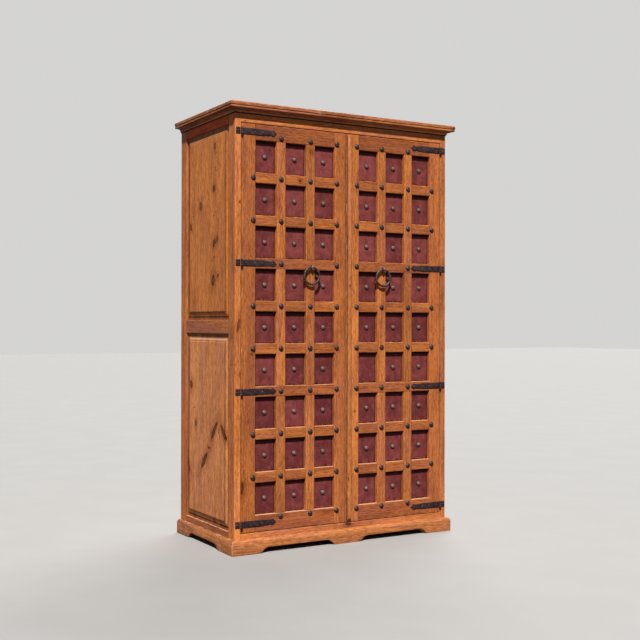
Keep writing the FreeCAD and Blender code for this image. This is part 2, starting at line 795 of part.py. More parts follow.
def hinge_pin(side, z):
    """A pin with a flat head above the barrel and a thinner tail below it."""
    x = hinge_axis_x(side)
    bottom = z - hinge_height / 2
    shaft = Part.makeCylinder(pin_radius, hinge_height, Vector(x, hinge_axis_y, bottom))
    head = Part.makeCylinder(barrel_radius, pin_head_height, Vector(x, hinge_axis_y, z + hinge_height / 2))
    tail = Part.makeCone(pin_tail_radius, pin_radius, pin_tail_length,
                         Vector(x, hinge_axis_y, bottom - pin_tail_length))
    return shaft.fuse([head, tail]).removeSplitter()


def make_hinges():
    places = [(side, z) for side in (-1, 1) for z in hinge_heights()]
    save("hinge_leaves", [frame_leaf(side, z) for side, z in places])
    save("hinge_pins", [hinge_pin(side, z) for side, z in places])
    head = dome(nail_diameter, nail_height, Vector(0, 0, 0))
    nails = []
    for side, z in places:
        outer = half_width - leaf_edge_inset
        reach = outer - abs(hinge_axis_x(side)) - barrel_radius
        for share in leaf_nail_shares:
            nails.append(head.translated(Vector(side * (outer - share * reach), face_y - leaf_thickness, z)))
    save("leaf_nails", nails)
    for name, side in (("left_door", -1), ("right_door", 1)):
        save(name + "_hinge_straps", [door_strap(side, z) for z in hinge_heights()])
        nails = [head.translated(strap_point(side, z, share, 0)) for z in hinge_heights()
                 for share in strap_nail_shares]
        save(name + "_strap_nails", nails)


# Ring pulls

def ring_centre(side):
    """Middle of the ring as it hangs from its eye."""
    x, z = eye_place(side)
    drop = eye_inner_radius - ring_bar_radius - ring_seat_gap
    return Vector(x, eye_y, z - drop - ring_radius)


def make_ring(name, side):
    x, z = eye_place(side)
    loop = Part.makeTorus(eye_radius, eye_bar_radius, Vector(x, eye_y, z), Vector(1, 0, 0))
    shank_start = eye_y + eye_radius
    shank = Part.makeCylinder(eye_shank_radius, face_y + eye_shank_length - shank_start,
                              Vector(x, shank_start, z), Vector(0, 1, 0))
    save(name + "_door_ring_eye", [loop.fuse(shank).removeSplitter()])
    ring = Part.makeTorus(ring_radius, ring_bar_radius, ring_centre(side), Vector(0, 1, 0))
    save(name + "_ring_pull", [ring])


# Stop strip behind the top rail, and the magnetic catches under it

def make_stop_and_catches():
    inner = half_width - post_width
    back = face_y + front_rail_thickness
    stop_bottom = door_top - stop_lap
    save("door_stop", [block(-inner, inner, back, back + stop_thickness,
                             stop_bottom, stop_bottom + stop_height)])
    plate_front = face_y + door_thickness
    case_front = plate_front + catch_plate_thickness + catch_air_gap
    cases = []
    for name, side in (("left", -1), ("right", 1)):
        x0 = side * catch_offset - catch_length / 2
        x1 = x0 + catch_length
        low = stop_bottom - catch_height
        cases.append(block(x0, x1, case_front, case_front + catch_depth, low, stop_bottom))
        save(name + "_door_catch_plate", [block(x0, x1, plate_front, plate_front + catch_plate_thickness,
                                                low, stop_bottom - catch_plate_thickness)])
    save("magnet_catches", cases)


def make_all():
    os.makedirs("parts", exist_ok=True)
    make_posts()
    make_rails()
    make_side_panels()
    make_boards()
    make_shelves()
    make_cornice()
    make_plinth()
    for name, side in (("left_door", -1), ("right_door", 1)):
        make_door_frame(name, side)
        make_lattice(name, side)
        make_leather(name, side)
        make_studs(name, side)
    make_astragal()
    make_hinges()
    for name, side in (("left", -1), ("right", 1)):
        make_ring(name, side)
    make_stop_and_catches()


make_all()
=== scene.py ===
import math

import bpy
import numpy as np
from mathutils import Matrix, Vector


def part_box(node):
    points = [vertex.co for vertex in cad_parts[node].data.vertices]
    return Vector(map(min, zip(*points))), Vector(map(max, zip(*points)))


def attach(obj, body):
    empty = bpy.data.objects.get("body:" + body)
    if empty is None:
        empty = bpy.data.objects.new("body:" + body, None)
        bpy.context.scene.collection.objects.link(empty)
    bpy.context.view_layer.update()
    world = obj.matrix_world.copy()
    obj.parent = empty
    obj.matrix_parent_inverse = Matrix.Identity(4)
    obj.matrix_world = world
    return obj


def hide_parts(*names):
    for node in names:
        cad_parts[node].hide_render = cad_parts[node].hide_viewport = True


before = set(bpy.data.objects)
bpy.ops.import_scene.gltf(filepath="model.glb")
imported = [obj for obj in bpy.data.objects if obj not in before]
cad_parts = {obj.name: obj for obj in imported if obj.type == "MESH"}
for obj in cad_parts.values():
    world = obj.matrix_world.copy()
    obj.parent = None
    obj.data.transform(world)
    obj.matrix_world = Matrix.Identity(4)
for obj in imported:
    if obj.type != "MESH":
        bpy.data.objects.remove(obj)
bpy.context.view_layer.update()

# Corner posts.
# Four square-sawn lengths of stained pine that run from the floor to the top boards. Their arrises are rubbed
# round by hands. The one at the front left has painted light on its front face and a swirl of grain round a
# knot at half height, and the one at the rear left has painted shade towards the foot of its front face and
# painted light at its top.


def paint(red, green, blue):
    """A colour as a picture editor shows it, made linear for a shader."""
    shares = np.array((red, green, blue)) / 255
    linear = np.where(shares <= 0.04045, shares / 12.92, ((shares + 0.055) / 1.055) ** 2.4)
    return (*(float(part) for part in linear), 1.0)


def add(tree, kind, inputs, **settings):
    """Adds a shader node, sets its properties, and feeds its inputs from sockets or with plain values."""
    node = tree.nodes.new("ShaderNode" + kind)
    for key, value in settings.items():
        setattr(node, key, value)
    for key, value in inputs.items():
        if isinstance(value, bpy.types.NodeSocket):
            tree.links.new(value, node.inputs[key])
        else:
            node.inputs[key].default_value = value
    return node


def calc(tree, operation, *values):
    """The result of one step of arithmetic on sockets and plain numbers."""
    return add(tree, "Math", dict(enumerate(values)), operation=operation).outputs[0]


def ease(tree, value, start, end):
    """0 before start, 1 after end and a smooth rise between them; start may be the larger one."""
    node = add(tree, "MapRange", {"Value": value, "From Min": start, "From Max": end},
               interpolation_type="SMOOTHSTEP")
    return node.outputs[0]


def blend_colours(tree, share, first, second, way="MIX"):
    """The first colour where share is 0 and the second where it is 1."""
    node = add(tree, "Mix", {0: share, 6: first, 7: second}, data_type="RGBA", blend_type=way)
    return node.outputs[2]


def cloud(tree, place, stretch, detail=2.0, roughness=0.55):
    """Noise about 0.5, on a place stretched by three factors; a larger factor is a finer noise that way."""
    moved = add(tree, "VectorMath", {0: place, 1: stretch}, operation="MULTIPLY").outputs[0]
    return add(tree, "TexNoise", {"Vector": moved, "Scale": 1.0, "Detail": detail, "Roughness": roughness})


def new_group(name, inputs):
    """An empty shader node group that takes named inputs and puts out a colour, a roughness and a height."""
    tree = bpy.data.node_groups.new(name, "ShaderNodeTree")
    outputs = {"Color": "Color", "Roughness": "Float", "Height": "Float"}
    for direction, sockets in (("INPUT", inputs), ("OUTPUT", outputs)):
        for label, kind in sockets.items():
            tree.interface.new_socket(label, in_out=direction, socket_type="NodeSocket" + kind)
    return tree, tree.nodes.new("NodeGroupInput").outputs, tree.nodes.new("NodeGroupOutput").inputs


def link(tree, sockets, values):
    """Joins each given socket to the one of that name among the others."""
    for label, value in values.items():
        tree.links.new(value, sockets[label])


def make_pine_grain():
    """Stained pine, cut from the solid. Rings are even steps of the distance from the heart line, warped by
    slow noise and pushed aside round each knot. Streaks and pores are noise drawn out along the grain, and
    bare wood shows where the wear in the finish attribute and a noise add up. Slow patches turn it golden or
    red."""
    tree, given, result = new_group(
        "pine_grain",
        {"Grain": "Vector", "Knot": "Vector", "Finish": "Vector", "Light": "Color", "Dark": "Color",
         "Knot Colour": "Color", "Worn Colour": "Color", "Ring Width": "Float", "Figure": "Float"})
    grain = given["Grain"]
    slow = cloud(tree, grain, (1.4, 9.0, 9.0)).outputs["Color"]
    slow = add(tree, "VectorMath", {0: slow, 1: (0.5, 0.5, 0.5)}, operation="SUBTRACT").outputs[0]
    slow = add(tree, "VectorMath", {0: slow, "Scale": 0.015}, operation="SCALE").outputs[0]
    warped = add(tree, "VectorMath", {0: grain, 1: slow}, operation="ADD").outputs[0]
    across = add(tree, "VectorMath", {0: warped, 1: (0.0, 1.0, 1.0)}, operation="MULTIPLY").outputs[0]
    radius = add(tree, "VectorMath", {0: across}, operation="LENGTH").outputs["Value"]
    parts = add(tree, "SeparateXYZ", {0: given["Knot"]}).outputs
    flat_knot = add(tree, "CombineXYZ", {0: parts[0], 1: parts[1]}).outputs[0]
    from_knot = add(tree, "VectorMath", {0: flat_knot}, operation="LENGTH").outputs["Value"]
    ragged = cloud(tree, grain, (90.0, 90.0, 90.0)).outputs[0]
    from_knot = calc(tree, "MULTIPLY_ADD", calc(tree, "SUBTRACT", ragged, 0.5), 0.6, from_knot)
    core = calc(tree, "MULTIPLY", ease(tree, from_knot, 1.15, 0.75), ease(tree, parts[2], 0.4, 0.9))
    halo = calc(tree, "MULTIPLY", ease(tree, from_knot, 3.2, 0.8), parts[2])
    rings = calc(tree, "MULTIPLY_ADD", halo, 0.021, radius)
    along = add(tree, "SeparateXYZ", {0: grain}).outputs[0]
    band = cloud(tree, add(tree, "CombineXYZ", {0: rings, 1: along}).outputs[0], (110.0, 3.2, 0.0)).outputs[0]
    phase = calc(tree, "FRACT", calc(tree, "DIVIDE", rings, given["Ring Width"]))
    late = calc(tree, "MULTIPLY", ease(tree, phase, 0.25, 0.93), ease(tree, phase, 1.0, 0.94))
    streaks = cloud(tree, grain, (9.0, 420.0, 420.0), 3.0, 0.6).outputs[0]
    pores = ease(tree, cloud(tree, grain, (34.0, 1300.0, 1300.0), 1.0).outputs[0], 0.6, 0.74)
    stain = cloud(tree, grain, (5.0, 22.0, 22.0), 3.0, 0.6).outputs[0]
    flecks = cloud(tree, grain, (34.0, 210.0, 210.0), 3.0, 0.7).outputs[0]
    depth = calc(tree, "MULTIPLY_ADD", late, 0.34, calc(tree, "SUBTRACT", streaks, 0.16))
    for noise, share in ((stain, 1.1), (flecks, 2.6), (band, given["Figure"])):
        depth = calc(tree, "MULTIPLY_ADD", calc(tree, "SUBTRACT", noise, 0.5), share, depth)
    depth = calc(tree, "MULTIPLY_ADD", halo, 0.45, depth)
    colour = blend_colours(tree, depth, given["Light"], given["Dark"])
    hue = cloud(tree, grain, (2.6, 20.0, 20.0), 3.0, 0.6).outputs[0]
    tint = blend_colours(tree, ease(tree, hue, 0.36, 0.64), (1.10, 1.06, 0.84, 1.0), (0.92, 0.88, 1.04, 1.0))
    colour = blend_colours(tree, 1.0, colour, tint, "MULTIPLY")
    speck = ease(tree, cloud(tree, grain, (60.0, 190.0, 190.0), 1.0).outputs[0], 0.66, 0.76)
    speck = calc(tree, "MAXIMUM", calc(tree, "MULTIPLY", pores, 0.3), calc(tree, "MULTIPLY", speck, 0.5))
    colour = blend_colours(tree, speck, colour, given["Knot Colour"])
    finish = add(tree, "SeparateXYZ", {0: given["Finish"]}).outputs
    value = calc(tree, "MULTIPLY_ADD", finish[0], 0.16, 1.0)
    colour = add(tree, "HueSaturation", {"Value": value, "Color": colour}).outputs[0]
    eyelet = calc(tree, "MULTIPLY_ADD", ease(tree, from_knot, 0.4, 0.85), 0.28, 0.70)
    colour = blend_colours(tree, calc(tree, "MULTIPLY", core, eyelet), colour, given["Knot Colour"])
    chafe = cloud(tree, grain, (28.0, 70.0, 70.0), 3.0, 0.65).outputs[0]
    chafe = calc(tree, "MULTIPLY_ADD", calc(tree, "SUBTRACT", chafe, 0.5), 2.2, finish[1])
    worn = ease(tree, chafe, 0.55, 1.15)
    colour = blend_colours(tree, calc(tree, "MULTIPLY", worn, 0.72), colour, given["Worn Colour"])
    # The third finish value mixes in the knot colour: soil, and painted shade where a piece carries it.
    soil_and_shade = calc(tree, "MULTIPLY", finish[2], calc(tree, "MULTIPLY_ADD", stain, 0.9, 0.35))
    colour = blend_colours(tree, soil_and_shade, colour, given["Knot Colour"])
    gloss = calc(tree, "MULTIPLY_ADD", streaks, 0.24, 0.36)
    gloss = calc(tree, "MULTIPLY_ADD", worn, 0.16, gloss)
    height = calc(tree, "MULTIPLY_ADD", late, -0.3, calc(tree, "MULTIPLY", streaks, 0.55))
    height = calc(tree, "MULTIPLY_ADD", pores, -0.4, height)
    link(tree, result, {"Color": colour, "Roughness": gloss, "Height": height})
    return tree


pine_grain = make_pine_grain()


def new_material(name):
    """A new material with its node tree and its shader."""
    material = bpy.data.materials.new(name)
    material.use_nodes = True
    return material, material.node_tree, material.node_tree.nodes["Principled BSDF"]


def attribute(tree, name):
    """The socket that reads an attribute of the piece."""
    return add(tree, "Attribute", {}, attribute_name=name).outputs["Vector"]


def dress(tree, shader, colour, roughness, height, strength, relief):
    """Feeds a shader its colour, its roughness and a bump, whose relief is in metres."""
    bump = add(tree, "Bump", {"Strength": strength, "Distance": relief, "Height": height})
    link(tree, shader.inputs, {"Base Color": colour, "Roughness": roughness, "Normal": bump.outputs[0]})


def pine(name, mean, ring_width=0.0042, knot=(58, 26, 14), worn=(232, 178, 140), gloss=0.14, figure=1.0):
    """A stained pine finish round a mean colour; it reads the board's own grain, knot and finish
    attributes."""
    material, tree, shader = new_material(name)
    mean = np.array(paint(*mean))
    inputs = {label: attribute(tree, label.lower()) for label in ("Grain", "Knot", "Finish")}
    inputs["Light"] = np.minimum(mean * (1.34, 1.40, 1.42, 1.0), 1.0)
    inputs["Dark"] = mean * (0.62, 0.52, 0.50, 1.0)
    inputs.update({"Knot Colour": paint(*knot), "Worn Colour": paint(*worn), "Ring Width": ring_width,
                   "Figure": figure})
    grain = add(tree, "Group", inputs, node_tree=pine_grain).outputs
    shader.inputs["Specular IOR Level"].default_value = gloss
    dress(tree, shader, grain["Color"], grain["Roughness"], grain["Height"], strength=0.7, relief=0.0005)
    return material


def ripple(rng, first, second, shortest, longest):
    """Slow waves between 0 and 1: a half and a sixth of the sum of five sines of two distances, whose
    lengths and phases are drawn at random."""
    total = 0.0
    for _ in range(5):
        lengths = rng.uniform(shortest, longest, 2) * rng.choice((-1, 1), 2)
        phase = rng.uniform(0, 2 * np.pi)
        total = total + np.sin(2 * np.pi * (first / lengths[0] + second / lengths[1]) + phase)
    return np.clip(0.5 + total / 6, 0, 1)


def skin(points, smooth_ends=False, looped=False, marks=None):
    """A closed shell from a grid of points: stations along it and points round it. The last point of a
    station joins its first, and a flat face closes each end unless the last station joins the first."""
    stations, around = points.shape[:2]
    index = np.arange(stations * around).reshape(stations, around)
    rows = index if looped else index[:-1]
    ahead = np.roll(index, -1, 0)[:len(rows)]
    quads = np.stack([rows, np.roll(rows, -1, 1), np.roll(ahead, -1, 1), ahead], -1).reshape(-1, 4)
    ends = [] if looped else [index[0][::-1], index[-1]]
    verts = points.reshape(-1, 3)
    corner = verts[quads] - verts.mean(0)
    volume = np.einsum("ij,ij->i", corner[:, 0], np.cross(corner[:, 1], corner[:, 2])).sum()
    volume += np.einsum("ij,ij->i", corner[:, 0], np.cross(corner[:, 2], corner[:, 3])).sum()
    for end in ends:
        fan = verts[end] - verts.mean(0)
        volume += np.einsum("j,ij->i", fan[0], np.cross(fan[1:-1], fan[2:])).sum()
    if volume < 0:
        quads = quads[:, ::-1]
        ends = [end[::-1] for end in ends]
    return {"verts": verts, "quads": quads, "ends": ends, "smooth_ends": smooth_ends,
            "marks": {key: value.reshape(-1, 3) for key, value in (marks or {}).items()}}


def new_object(name, data):
    """An object of the scene that shows the given mesh, lamp or camera."""
    made = bpy.data.objects.new(name, data)
    bpy.context.scene.collection.objects.link(made)
    return made


def piece(name, skins, body, node, material):
    """One object from closed shells, with their attributes. It stands for its CAD node and rides on its
    body."""
    mesh = bpy.data.meshes.new(name)
    faces, smooth, start = [], [], 0
    for shell in skins:
        faces += (shell["quads"] + start).tolist() + [(end + start).tolist() for end in shell["ends"]]
        smooth += [True] * len(shell["quads"]) + [shell["smooth_ends"]] * len(shell["ends"])
        start += len(shell["verts"])
    mesh.from_pydata(np.concatenate([shell["verts"] for shell in skins]), [], faces)
    mesh.polygons.foreach_set("use_smooth", smooth)
    for key in skins[0]["marks"]:
        values = np.concatenate([shell["marks"][key] for shell in skins]).astype(np.float32)
        mesh.attributes.new(key, "FLOAT_VECTOR", "POINT").data.foreach_set("vector", values.ravel())
    mesh.materials.append(material)
    made = new_object(name, mesh)
    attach(made, body)
    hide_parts(node)


def along_the_board(along, values):
    """Values given at even steps from one end of a board to the other, read between them on straight
    lines."""
    share = (along - along.min()) / (along.max() - along.min())
    return np.interp(share, np.linspace(0, 1, len(values)), values)


def wood_marks(rng, along, across, through, wear, soil_and_shade, tone, knots=(), heart=None):
    """The attributes of one board. Grain is the place along, across and through it, counted from a heart line
    that lies off its middle and leans a little. Knot is the place seen from the nearest knot, in knot radii,
    and how dark the knot is. Finish is the tone, the wear, and the darkening that stands for soil and for
    painted shade; tone may be one number, or several at even steps along the board."""
    shape = along.shape
    offset = rng.uniform(1.0, 9.0)
    if heart is None:
        heart = (rng.uniform(-0.03, 0.03), rng.uniform(0.03, 0.09))
    lean = rng.uniform(-0.012, 0.012, 2)
    aside, behind = across + heart[0] + lean[0] * along, through + heart[1] + lean[1] * along
    grain = np.stack([along + offset, aside, behind], -1)
    knot = np.zeros(shape + (3,)) + (9.0, 9.0, 0.0)
    nearest = np.full(shape, 9.0)
    for place_along, place_across, long_half, short_half, turn, strength in knots:
        cosine, sine = math.cos(math.radians(turn)), math.sin(math.radians(turn))
        u, v = along - place_along, across - place_across
        seen = np.stack([(u * cosine + v * sine) / long_half, (v * cosine - u * sine) / short_half,
                         strength + 0 * u], -1)
        distance = np.hypot(seen[..., 0], seen[..., 1])
        knot = np.where((distance < nearest)[..., None], seen, knot)
        nearest = np.minimum(distance, nearest)
    if isinstance(tone, tuple):
        tone = along_the_board(along, tone)
    finish = np.stack([tone + 0 * along, wear + 0 * along, soil_and_shade + 0 * along], -1)
    return {"grain": grain, "knot": knot, "finish": finish}


arris_fade = 0.0035


def rounded_rectangle(half_a, half_b, turn):
    """The outline of a board's section with its outward directions, and 1 on top of an arris, 0.75 beside it
    and 0 on the flats."""
    step = 0.016
    points, outward, edge = [], [], []
    for quarter in range(4):
        angles = np.radians(90 * quarter + np.array((0.0, 45.0, 90.0)))
        ray = np.stack([np.cos(angles), np.sin(angles)], -1)
        corner = np.sign(ray[1]) * (half_a - turn, half_b - turn)
        points.append(corner + ray * turn)
        outward.append(ray)
        edge.append(np.array((0.75, 1.0, 0.75)))
        ahead = np.array((-ray[2][1], ray[2][0]))
        length = 2 * (half_a if quarter % 2 == 0 else half_b) - 2 * turn
        if length > 2.5 * arris_fade:
            inner = np.linspace(arris_fade, length - arris_fade, max(2, round(length / step) + 1))
            points.append(points[-1][2] + inner[:, None] * ahead)
            outward.append(np.repeat(ray[2:], len(inner), 0))
            edge.append(np.zeros(len(inner)))
    return np.concatenate(points), np.concatenate(outward), np.concatenate(edge)


def stations_along(length, turn, step):
    """Distances along a board, and how far its section shrinks there to round the two ends."""
    inner = np.linspace(turn + arris_fade, length - turn - arris_fade, max(3, round(length / step)))
    return (np.concatenate([[0, 0.3 * turn, turn], inner, [length - turn, length - 0.3 * turn, length]]),
            np.concatenate([[turn, 0.3 * turn, 0], 0 * inner, [0, 0.3 * turn, turn]]))


def board(low, high, along, seed, arris=0.0015, wear=0.8, knots=(), knot_axis=None, tone=None, step=0.022,
          heart=None, soil_and_shade=0.0, dust=0.0, front_face_light=(0.0, 0.0), joint=0.0, flank_soil_and_shade=(0.0, 0.0)):
    """A planed board: a rounded rectangle carried along the grain. Each point sinks by a slow ripple of up to
    a quarter of a millimetre, and an arris by up to a quarter of its radius more. Knots are places in the
    cabinet's frame, dust is wear on what faces up, and the front face tone is painted light on what faces the
    front, from the low end to the high one, or painted shade where it is below 0. Joint darkens the lines
    where it ends, the even darkening value darkens the whole board, and flanks is soil with painted shade
    along its left and right sides, which fades over 6 mm."""
    rng = np.random.default_rng(seed)
    ends = 0.0004
    low, high = np.array(low, float), np.array(high, float)
    wide, thin = sorted((axis for axis in range(3) if axis != along), key=lambda axis: low[axis] - high[axis])
    half, middle = (high - low) / 2, (high + low) / 2
    section, outward, edge = rounded_rectangle(half[wide], half[thin], arris)
    distance, inset = stations_along(2 * half[along], ends, step)
    s, girth = distance[:, None], np.arctan2(section[:, 1], section[:, 0]) * 0.03
    sink = 0.00025 * ripple(rng, s, section[:, 0] + 3 * section[:, 1], 0.05, 0.3)
    rub = ripple(rng, s, girth, 0.03, 0.25) ** 2
    sink = sink + edge * arris * 0.25 * rub + inset[:, None]
    flat = section[None] - outward[None] * sink[..., None]
    points = np.empty(flat.shape[:2] + (3,))
    points[..., along] = low[along] + s
    points[..., wide] = middle[wide] + flat[..., 0]
    points[..., thin] = middle[thin] + flat[..., 1]
    knot_axis = wide if knot_axis is None else knot_axis
    other = thin if knot_axis == wide else wide
    places = [(a - low[along], b - middle[knot_axis], *size) for a, b, *size in knots]
    facing = np.zeros((3, len(section)))
    facing[wide], facing[thin] = outward.T
    if tone is None:
        tone = rng.uniform(-0.5, 0.5)
    worn = edge * wear * (0.45 + 0.75 * rub) + dust * np.clip(facing[2], 0, 1)
    soiling_and_shade = soil_and_shade + joint * (np.minimum(s, 2 * half[along] - s) <= ends)
    marks = wood_marks(rng, points[..., along] - low[along], points[..., knot_axis] - middle[knot_axis],
                       points[..., other] - middle[other], worn, soiling_and_shade, tone, places, heart)
    # Painted light on the faces towards the front, and painted shade where the value is below 0.
    marks["finish"][..., 0] += along_the_board(points[..., along], front_face_light) * np.clip(-facing[1], 0, 1)
    # Painted shade with some soil along the left and right sides.
    for side_soil_and_shade, from_side in zip(flank_soil_and_shade, (points[..., 0] - low[0], high[0] - points[..., 0])):
        marks["finish"][..., 2] += side_soil_and_shade * np.clip(1 - from_side / 0.006, 0, 1)
    return skin(points, marks=marks)


post_pine = pine("post_pine", (199, 121, 69), gloss=0.08, figure=1.1)
# The face tones are painted light on the front face of the front left post, and on the front face of the rear
# left post painted shade that turns to painted light towards its top.
posts = {
    "front_left_post": dict(
        tone=(0.5, -1.0, -0.8, -0.6), front_face_light=(0.6, 0.9, 0.6, 1.9), wear=0.0, knot_axis=0,
        heart=(0.055, 0.012),
        knots=((1.030, -0.567, 0.032, 0.008, 10, 0.75), (1.585, -0.561, 0.005, 0.004, 0, 1.0),
               (0.81, -0.562, 0.010, 0.006, 0, 0.6))),
    "front_right_post": dict(tone=(-0.7, -1.5, -0.8), wear=0.3, knot_axis=0, heart=(-0.05, 0.02)),
    "rear_left_post": dict(tone=(-0.9, -0.9, -1.6), front_face_light=(-2.4, -1.6, -0.4, 0.8), wear=0.05),
    "rear_right_post": dict(tone=-0.5, wear=0.3),
}
for seed, (node, looks) in enumerate(posts.items()):
    low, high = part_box(node)
    piece(node + "_planed", [board(low, high, 2, 10 + seed, arris=0.0018, **looks)], "carcass", node,
          post_pine)

# Rails of the front opening.
# Two boards of the same pine between the front posts, tenoned into them. The cornice covers the top of the
# upper one, and the plinth the foot of the lower one, which has a black oval mark under the doors' meeting
# line.
post_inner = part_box("front_right_post")[0].x
front_pine = pine("front_pine", (197, 120, 73), figure=0.7)
front_rails = {
    "front_top_rail": dict(tone=0.6),
    "front_bottom_rail": dict(tone=-0.25, knots=((0.016, 0.086, 0.017, 0.009, 0, 1.0),)),
}
for number, (node, looks) in enumerate(front_rails.items()):
    low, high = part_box(node)
    rail = board((-post_inner, low.y, low.z), (post_inner, high.y, high.z), 0, 20 + number, **looks)
    piece(node + "_planed", [rail], "carcass", node, front_pine)

# Rails of the framed sides.
# Three on each side, tenoned into the front and rear posts and redder than them. The top one, under the
# cornice, has its own darker, deep red finish: painted shade that stands for the cornice's shadow.
side_rail_pine = pine("side_rail_pine", (166, 101, 65), gloss=0.08, figure=0.7)
shadow_painted_rail_pine = pine("shadow_painted_rail_pine", (222, 102, 50), gloss=0.04, figure=0.7)
front_post_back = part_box("front_left_post")[1].y
rear_post_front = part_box("rear_left_post")[0].y
# The added darkening of the top rail is painted shade as well.
side_rails = {"bottom": dict(tone=-0.3, dust=0.7), "middle": dict(tone=0.3, wear=0.3),
              "top": dict(tone=0.6, soil_and_shade=0.25)}
for side in ("left", "right"):
    for number, (level, looks) in enumerate(side_rails.items()):
        node = side + "_side_" + level + "_rail"
        low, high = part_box(node)
        rail = board((low.x, front_post_back, low.z), (high.x, rear_post_front, high.z), 1,
                     30 + number + 3 * (side == "right"), arris=0.002, joint=0.5, **looks)
        piece(node + "_planed", [rail], "carcass", node,
              shadow_painted_rail_pine if level == "top" else side_rail_pine)

# Raised panels of the sides.
# Each is glued up from four upright boards and then shaped as one: a flat field level with the frame, a small
# step round it, bevels that fall from the step, and a thin flat margin that runs into the frame's groove. The
# knots are where the real boards have them, and they lean where a branch was sawn at a slant.
panel_wood = dict(ring_width=0.006, knot=(56, 25, 13), gloss=0.06, figure=0.45)
panel_pine = pine("panel_pine", (202, 125, 66), worn=(222, 170, 128), **panel_wood)
faded_panel_pine = pine("faded_panel_pine", (200, 130, 82), worn=(222, 170, 132), **panel_wood)
panel_seams = (0.0, 0.27, 0.51, 0.76, 1.0)
panel_knots = {
    "upper": ((1.864, -0.075, 0.020, 0.007, 8, 0.8), (1.669, -0.063, 0.017, 0.009, -6, 1.0),
              (1.600, 0.086, 0.022, 0.012, -14, 0.75), (1.506, 0.205, 0.018, 0.007, 12, 0.9),
              (1.430, -0.099, 0.013, 0.006, -10, 1.0), (1.412, -0.063, 0.020, 0.008, -14, 1.0),
              (1.262, -0.109, 0.008, 0.004, 0, 1.0), (1.240, -0.056, 0.028, 0.012, -12, 1.0)),
    "lower": ((0.742, 0.197, 0.022, 0.011, 6, 1.0), (0.540, -0.071, 0.054, 0.009, -38, 1.0),
              (0.540, -0.171, 0.046, 0.009, 40, 1.0), (0.389, 0.043, 0.050, 0.011, -42, 1.0),
              (0.341, 0.230, 0.034, 0.010, 28, 1.0), (0.559, 0.141, 0.016, 0.006, 0, 1.0),
              (0.120, -0.060, 0.010, 0.007, 0, 0.8)),
}


def fine_steps(breaks, step):
    """Places in order that include every break, with even steps of about the given size between them."""
    runs = [np.linspace(a, b, max(2, round((b - a) / step) + 1))[:-1]
            for a, b in zip(breaks[:-1], breaks[1:])]
    return np.concatenate([*runs, [breaks[-1]]])


def panel_plank(side, low, high, y0, y1, seed, knots, tone, dust):
    """One upright board of a panel: its front is the panel's depth over a grid, and its back is flat. The
    depth follows the distance d from the nearer edge: level margin, slope of the bevel, rounded step, field.
    Painted shade with some soil darkens the margin, a line along it, the slopes and the step, and the slope
    that faces up carries a painted highlight, partly wear."""
    rng = np.random.default_rng(seed)
    margin, bevel, lip, thin_edge, bevel_top, field = 0.020, 0.0175, 0.0007, 0.0082, 0.0014, 0.0004
    back, back_arris, hair = 0.0142, 0.0006, 0.0004
    top = margin + bevel
    folds = (0.0, 0.0015, 0.010, 0.014, margin - 0.0008, margin, margin + 0.0008, margin + 0.004,
             margin + 0.008, margin + 0.0125, top - 0.0015, top, top + lip, top + lip + 0.0015,
             top + lip + 0.005)
    breaks = [low[0] + fold for fold in folds] + [high[0] - fold for fold in folds]
    breaks += [y0 + 0.0005, y1 - 0.0005]
    y = fine_steps(sorted({y0, y1, *(place for place in breaks if y0 < place < y1)}), 0.009)
    z = fine_steps(sorted([low[1] + fold for fold in folds] + [high[1] - fold for fold in folds]), 0.016)
    zz, yy = np.meshgrid(z, y, indexing="ij")
    d = np.minimum(np.minimum(yy - low[0], high[0] - yy), np.minimum(zz - low[1], high[1] - zz))
    depth = thin_edge + (bevel_top - thin_edge) * np.clip((d - margin) / bevel, 0, 1)
    depth = np.where(d > top + lip / 2, field, depth) + 0.0003 * ripple(rng, zz, yy, 0.06, 0.3)
    from_top, from_foot = high[1] - zz, zz - low[1]
    slope, lap = (d > margin - hair) & (d < top - hair), d < margin - hair
    upper_edge = d == from_top
    level_edge = upper_edge | (d == from_foot)
    # Painted highlight, partly wear, along the slope that faces up; painted shade with some soil in the
    # margin, on the slopes and at the step.
    rubbed_highlight = np.exp(-((d - margin - 0.006) / 0.0045) ** 2)
    soiling_and_shade = 0.15 * slope * (1 - level_edge) + 0.7 * slope * (1 - rubbed_highlight) * upper_edge
    soiling_and_shade = soiling_and_shade + (0.3 + 0.25 * level_edge + 0.15 * upper_edge) * lap
    step_line, frame_line = np.exp(-((d - top - lip / 2) / 0.003) ** 2), np.exp(-((d - 0.014) / 0.004) ** 2)
    soiling_and_shade = soiling_and_shade + (0.5 + 0.4 * (1 - level_edge)) * step_line * ~upper_edge
    soiling_and_shade = soiling_and_shade + 0.9 * frame_line * ~upper_edge
    line = 2.2 * rubbed_highlight + 0.4 * np.exp(-((d - top) / 0.0025) ** 2)
    worn = line * upper_edge * (1 - dust) + dust
    back_ring = (y1, y1 - back_arris, y0 + back_arris, y0)
    inset, ring_y, ring_z, soiling_and_shade, worn = (
        np.concatenate([front, np.broadcast_to(behind, (len(z), 4))], 1)
        for front, behind in ((depth, back), (yy, back_ring), (zz, z[:, None]), (soiling_and_shade, 0.0), (worn, 0.0)))
    outer = abs(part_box("left_side_top_rail")[0].x)
    points = np.stack([side * (outer - inset), ring_y, ring_z], -1)
    places = [(a - low[1], b, *size) for a, b, *size in knots]
    marks = wood_marks(rng, ring_z - low[1], ring_y, -inset, worn, soiling_and_shade, tone, places,
                       (rng.uniform(-0.2, 0.2), rng.uniform(0.05, 0.11)))
    return skin(points, marks=marks)


